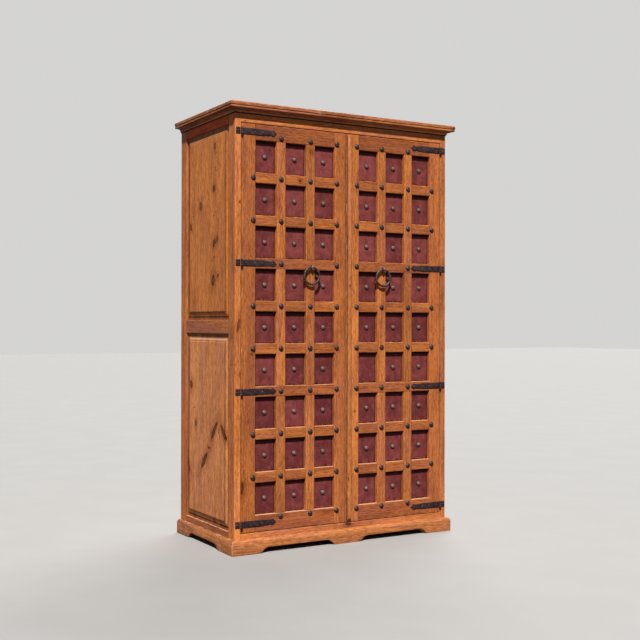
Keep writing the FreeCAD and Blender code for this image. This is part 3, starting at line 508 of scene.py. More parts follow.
panel_looks = {
    "lower": (faded_panel_pine, (0.6, 0.5, 0.8, 1.0), (0.4, 0.42, 0.48, 0.5)),
    "upper": (panel_pine, (0.0, -0.1, 0.2, -0.2), (0.0, 0.0, 0.0, 0.0)),
}
knot_swell = 1.45
neighbours = (("lower", "bottom", "middle"), ("upper", "middle", "top"))
for side, sign in (("left", -1), ("right", 1)):
    for number, (level, below, above) in enumerate(neighbours):
        node = side + "_" + level + "_panel"
        low = (front_post_back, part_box(side + "_side_" + below + "_rail")[1].z)
        high = (rear_post_front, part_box(side + "_side_" + above + "_rail")[0].z)
        seams = [low[0] + share * (high[0] - low[0]) for share in panel_seams]
        knots = [(z, -sign * y, long_half, knot_swell * short_half, -sign * turn, strength)
                 for z, y, long_half, short_half, turn, strength in panel_knots[level]]
        material, tones, dusts = panel_looks[level]
        seed = 60 + 10 * number + 100 * (sign > 0)
        planks = [panel_plank(sign, low, high, seams[i], seams[i + 1], seed + i, knots, tones[i], dusts[i])
                  for i in range(4)]
        piece(node + "_glued", planks, "carcass", node, material)

# Back.
# Eight upright boards nailed to three rails between the rear posts, left unstained like all the inside.
inside_pine = pine("inside_pine", (205, 160, 108), knot=(96, 52, 28), worn=(228, 198, 156))
back_rail_tops, back_rail_height = (0.075, 1.060, 2.014), 0.060
low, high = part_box("back_rails")
rails = [board((-post_inner, low.y, top - back_rail_height), (post_inner, high.y, top), 0, 120 + number)
         for number, top in enumerate(back_rail_tops)]
piece("back_rails_planed", rails, "carcass", "back_rails", inside_pine)
low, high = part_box("back_boards")
edges = np.linspace(low.x, high.x, 9)
planks = [board((edges[i], low.y, low.z), (edges[i + 1], high.y, high.z), 2, 130 + i, step=0.04,
                knots=[(0.4 + 0.17 * i, edges[i] + 0.05, 0.012, 0.009, 0, 1.0),
                       (1.75 - 0.11 * i, edges[i] + 0.1, 0.009, 0.007, 0, 1.0)])
          for i in range(8)]
piece("back_boards_planed", planks, "carcass", "back_boards", inside_pine)

# Floor and top.
# Four boards each, from side to side. The floor boards stop at the posts, and the top boards lie on the posts
# inside the cornice.
side_rail_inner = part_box("right_side_middle_rail")[0].x
low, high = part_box("floor_boards")
edges = np.linspace(low.y, high.y, 5)
reaches = (post_inner, side_rail_inner, side_rail_inner, post_inner)
planks = [board((-reach, edges[i], low.z), (reach, edges[i + 1], high.z), 0, 150 + i)
          for i, reach in enumerate(reaches)]
piece("floor_boards_planed", planks, "carcass", "floor_boards", inside_pine)
low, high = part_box("top_boards")
edges = np.linspace(low.y, high.y, 5)
top_pine = pine("top_pine", (178, 110, 68))
planks = [board((low.x, edges[i], low.z), (high.x, edges[i + 1], high.z), 0, 160 + i, tone=-0.5)
          for i in range(4)]
piece("top_boards_planed", planks, "carcass", "top_boards", top_pine)

# Shelves and cleats.
# Three plain shelves of two boards each, and the strips screwed to the posts that carry them.
low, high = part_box("shelves")
shelf_levels, shelf_thickness = (0.541, 1.009, 1.477), 0.020
middle = (low.y + high.y) / 2
halves = ((low.y, middle), (middle, high.y))
planks = [board((low.x, y0, z), (high.x, y1, z + shelf_thickness), 0, 170 + number + 3 * half)
          for number, z in enumerate(shelf_levels) for half, (y0, y1) in enumerate(halves)]
piece("shelves_planed", planks, "carcass", "shelves", inside_pine)
cleat_height, cleat_thickness = 0.030, 0.018
strips = []
cleat_tops = (0.075, *shelf_levels)
for number, top in enumerate(cleat_tops):
    for side in (-1, 1):
        x0, x1 = sorted((side * post_inner, side * (post_inner - cleat_thickness)))
        strips.append(board((x0, low.y, top - cleat_height), (x1, high.y, top), 1,
                            180 + number * 2 + (side > 0)))
piece("shelf_cleats_planed", strips, "carcass", "shelf_cleats", inside_pine)

# Cornice.
# One moulding in three lengths, mitred at the front corners: a nose over a quirk, a flat fillet, a cove and a
# foot with a painted black shadow line under it. Painted shade darkens the quirk and the cove, the foot is
# painted pale against the shade of the nose, partly as wear, and its arrises are rubbed pale.
moulding_pine = pine("moulding_pine", (166, 103, 67), worn=(216, 174, 158), gloss=0.08, figure=0.6)
cornice_out, cornice_top, cornice_bottom = 0.036, 2.032, 1.984
half_width, face_y, back_y = 0.5855, -0.2895, 0.3255


def arc(centre, radius, start, end, count):
    """Points of a part of a circle, in degrees."""
    angles = np.radians(np.linspace(start, end, count))
    return np.stack([centre[0] + radius * np.cos(angles), centre[1] + radius * np.sin(angles)], -1)


def cornice_outline():
    """Distance out and height of each point of the section, with its wear, its painted shade and its tone,
    which
    holds painted light and shade: nose, quirk, fillet, cove, foot and the painted shadow line under it."""
    nose, turn, cove = 0.005, 0.0016, 0.0095
    nose_low, fillet_top, fillet_low = 2.0155, 2.0132, 2.0045
    fillet_out, quirk_out, foot_out = 0.0345, 0.0275, 0.006
    cove_out, foot_top, foot_low = 0.0245, 1.995, 1.9885
    hollow = arc((0.0, 0.0), 1.0, 90, 180, 7) * (cove_out - foot_out, cove) + (cove_out, foot_top)
    parts = [
        (((0.0, cornice_bottom), (0.0, 2.002), (0.0, 2.018), (0.0, cornice_top)), 0.0, 0.0, 0.0),
        (((0.012, cornice_top), (0.024, cornice_top), (cornice_out - nose - 0.002, cornice_top)),
         0.1, 0.0, 0.0),
        (arc((cornice_out - nose, cornice_top - nose), nose, 90, 0, 5), 0.55, 0.0, 0.3),
        (arc((cornice_out - turn, nose_low + turn), turn, 0, -90, 4), 0.6, 0.0, 0.3),
        # Painted shade in the quirk and the cove.
        (((quirk_out, nose_low), (quirk_out, fillet_top)), 0.0, 0.95, 0.0),
        (arc((fillet_out - turn, fillet_top - turn), turn, 90, 0, 4), 0.3, 0.0, 0.4),
        (arc((fillet_out - turn, fillet_low + turn), turn, 0, -90, 4), 0.2, 0.0, 0.4),
        (((cove_out + 0.001, fillet_low),), 0.0, 0.9, 0.0),
        (hollow, 0.0, 0.3, 1.2),
        # The foot: painted light, partly wear; then a painted black shadow line under it.
        (((foot_out, foot_top - 0.0006), (foot_out, foot_low)), 0.7, 0.0, 5.0),
        (((0.0022, foot_low - 0.0004), (0.0022, cornice_bottom)), 0.0, 2.0, -3.0),
    ]
    outline = np.concatenate([np.array(points) for points, *_ in parts])
    return outline, *(np.concatenate([np.full(len(part[0]), part[k]) for part in parts]) for k in (1, 2, 3))


def moulded(outline, wear, place, length, seed, tone, soil_and_shade):
    """A moulding: its section carried along a line from 0 to 1, where place turns the share of the line, the
    distance out and the height into points. Every point moves in by a slow ripple."""
    rng = np.random.default_rng(seed)
    share = np.linspace(0, 1, max(4, round(length / 0.03)))[:, None]
    out, height = outline[:, 0], outline[:, 1]
    dent = ripple(rng, share * length, out + height, 0.04, 0.4)
    rub = ripple(rng, share * length, height, 0.03, 0.2) ** 2
    moved = out - 0.0004 * dent * (out > 0.001) - 0.0008 * wear * rub
    points = place(share, np.maximum(moved, 0.0), height + 0 * share)
    shape = points.shape[:2]
    from_middle = np.broadcast_to(height - height.mean(), shape)
    marks = wood_marks(rng, share * length + 0 * points[..., 0], from_middle, np.broadcast_to(out, shape),
                       wear * (0.5 + 0.6 * dent), soil_and_shade, tone)
    return skin(points, marks=marks)


def along_front(share, out, z):
    """Points in front of the body. Share is 0 at the left mitre and 1 at the right one, so what stands
    further out is longer."""
    return np.stack([(2 * share - 1) * (half_width + out), face_y - out, z], -1)


def along_side(side):
    """The same for one side of the body, from the mitre at the front to the back."""
    return lambda share, out, z: np.stack(
        [side * (half_width + out), face_y - out + share * (back_y - face_y + out), z], -1)


# The tone column holds painted light and painted shade.
outline, wear, soiling_and_shade, bright = cornice_outline()
lengths = {"cornice_front": (2 * half_width, 0.1, along_front), "cornice_left": (0.65, -1.7, along_side(-1)),
           "cornice_right": (0.65, -0.3, along_side(1))}
for seed, (node, (length, tone, place)) in enumerate(lengths.items()):
    moulding = moulded(outline, wear, place, length, 200 + seed, tone + bright, soiling_and_shade)
    piece(node + "_moulded", [moulding], "carcass", node, moulding_pine)

# Plinth.
# Boards round the foot, mitred at the front corners and rounded over at the top, with bracket cut-outs sawn
# between the feet. Kicks and mops have worn the upper edge and the front corner pale.
# The shoulders of the side boards carry painted shade, and dust lies on their faces.
plinth_pine = pine("plinth_pine", (184, 116, 71), worn=(226, 180, 142), gloss=0.1, figure=0.25)
plinth_out, plinth_top, plinth_round = 0.0205, 0.067, 0.017
cut_height, cut_curve = 0.026, 0.046


def bracket(distance, cuts):
    """Height of the board's lower edge: 0 at the feet and the cut's height between them, with a slope of one
    in one that meets the level part in a curve."""
    height = np.zeros_like(distance)
    turn = cut_curve * (1 - math.sqrt(0.5))
    slope_top = cut_height - turn
    run = slope_top + cut_curve * math.sqrt(0.5)
    for start, end in cuts:
        inward = np.minimum(distance - start, end - distance)
        rise = np.sqrt(np.maximum(cut_curve ** 2 - np.clip(run - inward, 0, None) ** 2, 0))
        curve = np.where(inward < run, cut_height - cut_curve + rise, cut_height)
        height = np.maximum(height, np.where(inward < slope_top, np.clip(inward, 0, None), curve))
    return height


def plinth_board(length, cuts, place, seed, tone, dust_and_shade):
    """A board whose section is square below and rounded above, with its lower edge lifted by the cut-outs.
    Its last argument is how much painted shade darkens its shoulder and how much dust lies on its face."""
    rng = np.random.default_rng(seed)
    breaks, curve_steps = [0.0], (0.0, 0.0125, 0.0185, 0.026, 0.034, 0.045)
    for start, end in cuts:
        breaks += [start + step for step in curve_steps] + [end - step for step in curve_steps[::-1]]
    mitre_step = 0.004
    distance = fine_steps([*breaks, length], 0.022)
    distance = np.sort([*distance, mitre_step, length - mitre_step])[:, None]
    low = bracket(distance, cuts)
    top = plinth_top - plinth_round
    shoulder = arc((plinth_out - plinth_round, top), plinth_round, 0, 90, 7)
    flat_out = (0.0, 0.0, 0.0, 0.0004, plinth_out - 0.0012, plinth_out - 0.0003, *[plinth_out] * 3)
    out = np.concatenate([flat_out, shoulder[:, 0]])
    wear = np.array((0.0, 0.0, 0.0, 0.2, 0.7, 0.8, 0.25, 0.2, 0.2, 0.2, 0.25, 0.25, 0.3, 0.35, 0.6, 1.0))
    share = np.array((1.0, 0.5, 0.02, 0.0, 0.0, 0.012, 0.04, 0.4, 0.8, *[1.0] * 7))
    lift = np.concatenate([[plinth_top - top], [0.0] * 8, shoulder[:, 1] - top])
    height = low + share * (top - low) + lift
    dent = ripple(rng, distance, out + height, 0.04, 0.3)
    rub = ripple(rng, distance, height, 0.02, 0.1) ** 2
    moved = np.where(out > 0.001, out - 0.0005 * dent - 0.0012 * wear * rub, out)
    points = place(distance / length, moved, height)
    shoulder_part = height > top + 0.002
    corner = (np.minimum(distance, length - distance) < 0.001) * (out > 0.01)
    # Painted shade on the shoulder and dust on the face, by the last argument.
    worn = wear * (0.45 + 0.7 * dent) + dust_and_shade * np.where(shoulder_part, 0.1, 0.42) + 0.8 * corner
    middle_height = 0.033
    marks = wood_marks(rng, distance + 0 * height, height - middle_height, np.broadcast_to(out, height.shape),
                       worn, 0.0, tone - dust_and_shade * np.where(shoulder_part, 2.0, 0.2))
    return skin(points, marks=marks)


front_length = 2 * (half_width + plinth_out)
foot = 0.1445
opening = (front_length - 3 * foot) / 2
front_cuts = ((foot, foot + opening), (2 * foot + opening, front_length - foot))
side_length = back_y - face_y + plinth_out
side_front_foot, side_rear_foot = 0.154, 0.137
side_cuts = ((side_front_foot, side_length - side_rear_foot),)
plinths = {"plinth_front": (front_length, front_cuts, along_front, 0.15, 0.0),
           "plinth_left": (side_length, side_cuts, along_side(-1), 0.1, 1.0),
           "plinth_right": (side_length, side_cuts, along_side(1), -0.1, 1.0)}
for seed, (node, (length, cuts, place, tone, dust_and_shade)) in enumerate(plinths.items()):
    shape = plinth_board(length, cuts, place, 220 + seed, tone, dust_and_shade)
    piece(node + "_sawn", [shape], "carcass", node, plinth_pine)

# Door stiles.
# The upright members of each door. Both doors have their wider stile on the left. The hinge stile of the left
# door has a dark half-moon knot on its outer edge near the foot.
stile_pine = pine("stile_pine", (176, 103, 58), figure=0.4)
bright_stile_pine = pine("bright_stile_pine", (189, 114, 61), figure=0.3)
stile_looks = {
    "left_door_hinge_stile": dict(tone=(-0.6, -0.9, -0.1), knots=((0.302, -0.553, 0.032, 0.013, 0, 1.0),
                                                                 (0.9, -0.5, 0.004, 0.004, 0, 1.0))),
    # Painted shade with some soil along its right side, beside the astragal.
    "left_door_meeting_stile": dict(tone=-0.1, flank_soil_and_shade=(0.0, 1.0)),
    "right_door_meeting_stile": dict(tone=(0.5, 0.9, -1.1), knots=((0.62, 0.05, 0.006, 0.005, 0, 0.8),)),
    "right_door_hinge_stile": dict(tone=(-0.1, 0.6, 0.5)),
}
doors = {}
for seed, (door, left, right) in enumerate((("left_door", "_hinge_stile", "_meeting_stile"),
                                            ("right_door", "_meeting_stile", "_hinge_stile"))):
    wide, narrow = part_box(door + left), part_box(door + right)
    doors[door] = {"left": wide[1].x, "right": narrow[0].x, "low": wide[0], "high": narrow[1],
                   "seed": 100 * seed}
    for node, (low, high) in ((door + left, wide), (door + right, narrow)):
        material = bright_stile_pine if node == "right_door_meeting_stile" else stile_pine
        shape = board(low, high, 2, 240 + seed + 5 * (node == door + left), arris=0.0018,
                      heart=(0.03 - 0.06 * seed, 0.045), **stile_looks[node])
        piece(node + "_planed", [shape], door, node, material)

# Door rails.
# Four in each door, redder than the stiles: top, bottom and two between the three sections.
rail_pine = pine("rail_pine", (158, 90, 54), figure=0.8)
top_rail, bottom_rail, bar_height, muntin_width = 0.071, 0.075, 0.048, 0.046
rows, columns = 9, 3
rail_looks = (dict(tone=0.55, dust=1.3, wear=1.3), dict(tone=0.5, dust=0.9, wear=0.9),
              dict(tone=0.25, dust=0.6), dict(tone=-0.5, dust=0.3))
for door, frame_of in doors.items():
    low, high = frame_of["low"], frame_of["high"]
    cell_height = (high.z - low.z - top_rail - bottom_rail - (rows - 1) * bar_height) / rows
    cell_width = (frame_of["right"] - frame_of["left"] - (columns - 1) * muntin_width) / columns
    feet = [low.z + bottom_rail + row * (cell_height + bar_height) for row in range(rows)]
    lefts = [frame_of["left"] + column * (cell_width + muntin_width) for column in range(columns)]
    frame_of["rows"] = [(z0, z0 + cell_height) for z0 in feet]
    frame_of["columns"] = [(x0, x0 + cell_width) for x0 in lefts]
    frame_of["rails"] = [(low.z, low.z + bottom_rail), (feet[3] - bar_height, feet[3]),
                         (feet[6] - bar_height, feet[6]), (high.z - top_rail, high.z)]
    rails = [board((frame_of["left"], low.y, z0), (frame_of["right"], high.y, z1), 0,
                   260 + i + frame_of["seed"], joint=0.4, **rail_looks[i])
             for i, (z0, z1) in enumerate(frame_of["rails"])]
    piece(door + "_rails_planed", rails, door, door + "_rails", rail_pine)

# Muntins.
# Short uprights between the rails, 20 mm thick and flush with the frame's face. They run through, and the
# bars butt against them.
muntin_pine = pine("muntin_pine", (179, 107, 59), figure=0.6)
muntin_tones = {"left_door": (-0.4, 0.7, 0.8, -0.3, 0.6, -0.8),
                "right_door": (0.9, -0.3, 0.9, -1.1, 0.0, 0.6)}
muntin_knots = {("left_door", 0, 1): (0.405, -0.346, 0.020, 0.008, 0, 0.5),
                ("left_door", 1, 2): (1.057, -0.208, 0.016, 0.008, 0, 0.5),
                ("left_door", 2, 1): (1.588, -0.362, 0.026, 0.008, 0, 0.5),
                ("left_door", 2, 2): (1.840, -0.194, 0.012, 0.008, 0, 0.6)}
lattice_thickness = 0.020
for door, frame_of in doors.items():
    face = frame_of["low"].y
    muntins = []
    for section in range(3):
        z0, z1 = frame_of["rails"][section][1], frame_of["rails"][section + 1][0]
        for column in (1, 2):
            x1 = frame_of["columns"][column][0]
            spot = (door, section, column)
            muntins.append(board((x1 - muntin_width, face, z0), (x1, face + lattice_thickness, z1), 2,
                                 300 + 10 * section + column + frame_of["seed"], arris=0.0016, joint=0.3,
                                 tone=muntin_tones[door][2 * section + column - 1],
                                 knots=[muntin_knots[spot]] if spot in muntin_knots else ()))
    piece(door + "_muntins_planed", muntins, door, door + "_muntins", muntin_pine)

# Lattice bars.
# Eighteen short cross pieces in each door, between stiles and muntins, cut from darker offcuts.
bar_pine = pine("bar_pine", (170, 99, 54), figure=0.8)
bar_knots = {("left_door", 8, 1): (-0.252, 1.700, 0.007, 0.006, 0, 0.9)}
for door, frame_of in doors.items():
    face = frame_of["low"].y
    bars = []
    for row in (1, 2, 4, 5, 7, 8):
        z1 = frame_of["rows"][row][0]
        for column, (x0, x1) in enumerate(frame_of["columns"]):
            spot = (door, row, column)
            bars.append(board((x0, face, z1 - bar_height), (x1, face + lattice_thickness, z1), 0,
                              340 + 3 * row + column + frame_of["seed"], arris=0.0016, step=0.014,
                              knots=[bar_knots[spot]] if spot in bar_knots else (),
                              dust=1.3 - 0.11 * row, joint=0.45))
    piece(door + "_lattice_bars_planed", bars, door, door + "_lattice_bars", bar_pine)

# Backing boards.
# Thin upright boards in grooves of the frame, one to each section, which close the cells from behind.
backing_thickness = 0.012
for door, frame_of in doors.items():
    y0 = frame_of["low"].y + lattice_thickness
    backs = [board((frame_of["left"], y0, frame_of["rails"][i][1]),
                   (frame_of["right"], y0 + backing_thickness, frame_of["rails"][i + 1][0]), 2,
                   400 + i + frame_of["seed"], arris=0.0006) for i in range(3)]
    piece(door + "_backing_boards_planed", backs, door, door + "_backing_boards", inside_pine)

# Leather squares.
# Oxblood hide, glued to the backing in each cell and drawn down by the stud in its middle. It carries a
# painted black shadow under the bars, it is bluish in places, and dust lies along its lower edge.


def make_hide():
    """Mottled hide: two reds in cloudy patches, bluish bloom, a painted black shadow along the head and a
    pale dusty foot, pebbled and scuffed. The square attribute runs from -1 to 1 across and up each square,
    and its third value tells squares apart."""
    material, tree, shader = new_material("oxblood_hide")
    shader.inputs["Specular IOR Level"].default_value = 0.15
    place = add(tree, "TexCoord", {}).outputs["Object"]
    square = attribute(tree, "square")
    u, v, own = add(tree, "SeparateXYZ", {0: square}).outputs
    patches = cloud(tree, place, (26.0, 26.0, 22.0), 4.0, 0.6).outputs[0]
    smears = cloud(tree, place, (150.0, 150.0, 60.0), 3.0, 0.65).outputs[0]
    pebble = add(tree, "TexVoronoi", {"Vector": place, "Scale": 620.0}).outputs[0]
    share = calc(tree, "MULTIPLY_ADD", smears, 0.5, calc(tree, "MULTIPLY", patches, 1.3))
    share = calc(tree, "MULTIPLY_ADD", own, 0.5, share)
    colour = blend_colours(tree, ease(tree, share, 0.55, 1.35), paint(96, 40, 40), paint(144, 72, 68))
    rim = calc(tree, "MAXIMUM", calc(tree, "ABSOLUTE", u), calc(tree, "ABSOLUTE", v))
    rim = ease(tree, calc(tree, "MULTIPLY_ADD", smears, 0.25, rim), 0.85, 1.2)
    colour = blend_colours(tree, calc(tree, "MULTIPLY", rim, 0.4), colour, paint(70, 30, 30))
    bloom = ease(tree, cloud(tree, place, (38.0, 38.0, 30.0), 3.0, 0.6).outputs[0], 0.54, 0.70)
    colour = blend_colours(tree, calc(tree, "MULTIPLY", bloom, 0.4), colour, paint(92, 52, 62))
    # Painted shadow: the hide turns near black under the bar above each square.
    bar_shadow = ease(tree, calc(tree, "MULTIPLY_ADD", smears, 0.2, v), 0.80, 1.0)
    colour = blend_colours(tree, calc(tree, "MULTIPLY", bar_shadow, 0.75), colour, paint(34, 14, 14))
    dust = calc(tree, "MULTIPLY", ease(tree, v, -0.86, -0.99), ease(tree, smears, 0.45, 0.62))
    scuff = ease(tree, cloud(tree, place, (30.0, 30.0, 240.0), 3.0, 0.7).outputs[0], 0.66, 0.74)
    dust = calc(tree, "MAXIMUM", calc(tree, "MULTIPLY", dust, 0.6), calc(tree, "MULTIPLY", scuff, 0.25))
    colour = blend_colours(tree, dust, colour, paint(196, 138, 124))
    roughness = calc(tree, "MULTIPLY_ADD", smears, 0.3, 0.42)
    height = calc(tree, "MULTIPLY_ADD", pebble, 0.5, smears)
    dress(tree, shader, colour, roughness, height, strength=0.5, relief=0.0005)
    return material


leather_play, stud_radius = 0.0005, 0.013


def cells(frame_of):
    """Row, column, left, right, foot and top of each cell of a door."""
    return [(row, column, x0, x1, z0, z1) for row, (z0, z1) in enumerate(frame_of["rows"])
            for column, (x0, x1) in enumerate(frame_of["columns"])]


def leather_square(x0, x1, z0, z1, back, seed, pale):
    """A hide tile on a grid: 1.5 mm thick at its rim and 2.4 mm between rim and stud, with a hollow round the
    stud. Pale is what its row adds to its own share of the lighter red."""
    rng = np.random.default_rng(seed)
    v, u = np.meshgrid(np.linspace(-1, 1, 17), np.linspace(-1, 1, 15), indexing="ij")
    middle_x, middle_z = (x0 + x1) / 2, (z0 + z1) / 2
    x, z = middle_x + u * (x1 - x0) / 2, middle_z + v * (z1 - z0) / 2
    from_stud = np.hypot(x - middle_x, z - middle_z)
    hollow = np.exp(-((from_stud - stud_radius) / 0.008) ** 2)
    thick = 0.0015 + 0.0009 * (1 - u ** 8) * (1 - v ** 8) - 0.0005 * hollow
    thick = thick - 0.0003 * ripple(rng, x, z, 0.015, 0.08)
    front = np.stack([x, back - thick, z], -1)
    behind = np.stack([x[:, [-1, 0]], np.full((17, 2), back), z[:, [-1, 0]]], -1)
    mark = np.stack([u, v, np.full_like(u, rng.uniform(-0.3, 0.3) + pale)], -1)
    mark = np.concatenate([mark, mark[:, [-1, 0]]], 1)
    return skin(np.concatenate([front, behind], 1), marks={"square": mark})


hide = make_hide()
for door, frame_of in doors.items():
    back = frame_of["low"].y + lattice_thickness
    squares = [leather_square(x0 + leather_play, x1 - leather_play, z0 + leather_play, z1 - leather_play,
                              back, 500 + 3 * row + column + frame_of["seed"], 0.05 * (row - 5))
               for row, column, x0, x1, z0, z1 in cells(frame_of)]
    piece(door + "_leather_squares", squares, door, door + "_leather_panels", hide)

# Studs.
# Round heads hammered from iron: one on each crossing of the lattice, where no strap or ring is in the way,
# and one through each leather square. One is missing from the right door.


def make_forged_iron():
    """Blackened iron: dark scale with brown patches, dull where it is rough and brighter where hands rub it,
    with the soft dents of a hammer."""
    tree, given, result = new_group("forged_iron", {
        "Place": "Vector", "Dust": "Vector", "Dark": "Color", "Light": "Color", "Rust": "Color",
        "Dent Size": "Float"})
    place = given["Place"]
    scale = cloud(tree, place, (70.0, 70.0, 70.0), 4.0, 0.65).outputs[0]
    fine = cloud(tree, place, (420.0, 420.0, 420.0), 3.0, 0.6).outputs[0]
    sized = add(tree, "VectorMath", {0: place, "Scale": given["Dent Size"]}, operation="SCALE").outputs[0]
    dents = add(tree, "TexVoronoi", {"Vector": sized, "Scale": 1.0, "Smoothness": 0.6},
                feature="SMOOTH_F1").outputs[0]
    colour = blend_colours(tree, ease(tree, scale, 0.35, 0.65), given["Dark"], given["Light"])
    rust = calc(tree, "MULTIPLY", ease(tree, fine, 0.5, 0.72), 0.7)
    colour = blend_colours(tree, rust, colour, given["Rust"])
    dust = add(tree, "SeparateXYZ", {0: given["Dust"]}).outputs[0]
    dust = calc(tree, "MULTIPLY", dust, calc(tree, "MULTIPLY_ADD", scale, 0.7, 0.6))
    colour = blend_colours(tree, dust, colour, paint(164, 122, 110))
    gloss = calc(tree, "MULTIPLY_ADD", scale, 0.3, calc(tree, "MULTIPLY_ADD", fine, 0.25, 0.22))
    gloss = calc(tree, "MULTIPLY_ADD", dust, 0.2, gloss)
    height = calc(tree, "MULTIPLY_ADD", fine, 0.25, dents)
    link(tree, result, {"Color": colour, "Roughness": gloss, "Height": height})
    return tree


forged_iron = make_forged_iron()


def iron(name, dark, light, rust, dent_size=110.0, relief=0.0006, metallic=0.55, dusty=False):
    """An iron finish that reads the place on the object, and the dust on it where its shape says how much."""
    material, tree, shader = new_material(name)
    inputs = {"Place": add(tree, "TexCoord", {}).outputs["Object"], "Dent Size": dent_size,
              "Dark": paint(*dark), "Light": paint(*light), "Rust": paint(*rust)}
    if dusty:
        inputs["Dust"] = attribute(tree, "dust")
    forged = add(tree, "Group", inputs, node_tree=forged_iron).outputs
    shader.inputs["Metallic"].default_value = metallic
    dress(tree, shader, forged["Color"], forged["Roughness"], forged["Height"], strength=0.6, relief=relief)
    return material


def domed_head(x, y, z, radius, height, seed, around=20, rings=6, sunk=0.0005, dusty=0.0):
    """A hammered nail head on a face towards -y: a dome turned round, with uneven blows on it. Dust lies on
    what faces up."""
    rng = np.random.default_rng(seed)
    lean = np.linspace(0, 1, rings)[:, None]
    angle = np.linspace(0, 2 * np.pi, around, endpoint=False)[None]
    rise = np.concatenate([[[-sunk]], height * np.sin(lean * np.pi / 2) ** 1.15])
    reach = np.concatenate([[[1.0]], np.cos(lean * np.pi / 2) ** 0.9 * 0.985 + 0.015])
    blow = ripple(rng, np.cos(angle) * reach, np.sin(angle) * reach, 0.7, 1.9)
    spread = radius * reach * (1 - 0.05 * ripple(rng, np.cos(angle), np.sin(angle), 1.2, 2.5))
    out = rise - height * 0.10 * blow * (rise > 0)
    points = np.stack([x + spread * np.cos(angle), y - out + 0 * angle, z + spread * np.sin(angle)], -1)
    lie = dusty * (0.75 + 0.25 * np.sin(angle)) * np.clip(rise / height, 0, 1) ** 2
    return skin(points, smooth_ends=True, marks={"dust": np.stack([lie, lie, lie], -1)})


stud_iron = iron("stud_iron", (28, 20, 20), (68, 54, 52), (60, 38, 32), metallic=0.25, dusty=True)
stud_height, stud_stile_inset, stud_rail_inset, leather_depth = 0.008, 0.012, 0.015, 0.0025
for door, frame_of in doors.items():
    face = frame_of["low"].y
    columns_x = [frame_of["left"] - stud_stile_inset] + [
        x0 - muntin_width / 2 for x0, _ in frame_of["columns"][1:]] + [frame_of["right"] + stud_stile_inset]
    rows_z = [frame_of["rows"][0][0] - stud_rail_inset] + [
        z0 - bar_height / 2 for z0, _ in frame_of["rows"][1:]] + [frame_of["rows"][-1][1] + stud_rail_inset]
    hinge_column, ring_column = (0, 2) if door == "left_door" else (3, 1)
    heads = [domed_head(x, face, z, stud_radius, stud_height, 600 + 4 * j + i + frame_of["seed"])
             for j, z in enumerate(rows_z) for i, x in enumerate(columns_x)
             if not (i == hinge_column and j % 3 == 0) and (i, j) != (ring_column, 6)]
    leather_y = face + lattice_thickness - leather_depth
    heads += [domed_head((x0 + x1) / 2, leather_y, (z0 + z1) / 2, stud_radius, stud_height,
                         700 + 3 * row + column + frame_of["seed"], sunk=0.001, dusty=0.85 - 0.03 * row)
              for row, column, x0, x1, z0, z1 in cells(frame_of)
              if (door, row, column) != ("right_door", 3, 0)]
    piece(door + "_hammered_studs", heads, door, door + "_studs", stud_iron)

# Astragal.
# The strip on the meeting edge of the right door, with both front arrises rounded. It is palest at the top,
# its arrises are rubbed pink, and painted shade with some soil darkens its two flanks.
astragal_pine = pine("astragal_pine", (190, 116, 66), worn=(206, 150, 128), figure=0.6)
low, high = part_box("right_door_astragal")
astragal_knots = ((0.100, 0.0155, 0.012, 0.010, 0, 1.0), (0.30, 0.012, 0.008, 0.003, 0, 0.9),
                  (1.22, 0.020, 0.006, 0.003, 0, 0.9))
shape = board(low, high, 2, 800, arris=0.0028, wear=1.0, tone=(0.0, -0.2, 1.9), flank_soil_and_shade=(1.6, 0.8),
              knots=astragal_knots)
piece("right_door_astragal_planed", [shape], "right_door", "right_door_astragal",
      astragal_pine)

# Strap hinges.
# Eight hinges forged from flat bar. The long strap on the door tapers, is filed to a waist and ends in a
# pointed spade; the short leaf is nailed to the post. Both curl round a pin whose tail hangs out below.
strap_iron = iron("strap_iron", (42, 29, 31), (74, 54, 56), (60, 38, 36), dent_size=85.0, relief=0.0009)
hinge_height, strap_length, strap_thickness, leaf_thickness = 0.031, 0.178, 0.003, 0.0025
barrel_radius, hinge_x, hinge_y, leaf_edge = 0.006, 0.553, -0.2959, 0.5815
bar_start = 0.0062
strap_outline = ((0.0, 1.0), (0.62, 0.96), (0.645, 0.86), (0.76, 0.84), (0.80, 0.72), (0.835, 0.74),
                 (0.862, 0.88), (0.885, 0.94), (0.912, 0.90), (0.935, 0.76), (0.975, 0.30), (0.998, 0.03))


def forged_bar(side, z, along, half_height, thickness, start, seed):
    """Flat bar on a face towards -y: at each distance along it the top is a low crown with filed edges, and
    hammer marks move it in by up to 0.4 mm."""
    rng = np.random.default_rng(seed)
    across = np.array((-1.0, -0.93, -0.8, -0.4, 0.0, 0.4, 0.8, 0.93, 1.0))
    crown = np.array((0.35, 0.8, 0.97, 1.0, 1.0, 1.0, 0.97, 0.8, 0.35))
    s = along[:, None]
    h = half_height[:, None] * (1 - 0.02 * ripple(rng, s, 0 * s, 0.01, 0.05))
    mark = ripple(rng, s, across * h, 0.012, 0.03)
    top = thickness * crown - 0.0004 * mark * crown
    x = start - side * s
    front = np.stack([x + 0 * across, face_y - top, z + across * h], -1)
    let_in = np.full((len(along), 2), 0.0003)
    behind = np.stack([np.repeat(x, 2, 1), face_y + let_in, z + np.array((1.0, -1.0)) * h], -1)
    return skin(np.concatenate([front, behind], 1))


def round_bar(x, y, levels, radii):
    """An upright turned shape: a circle of a given radius at each level."""
    angle = np.linspace(0, 2 * np.pi, 16, endpoint=False)[None]
    radii, levels = np.array(radii)[:, None], np.array(levels)[:, None]
    return skin(np.stack([x + radii * np.cos(angle), y + radii * np.sin(angle), levels + 0 * angle], -1))


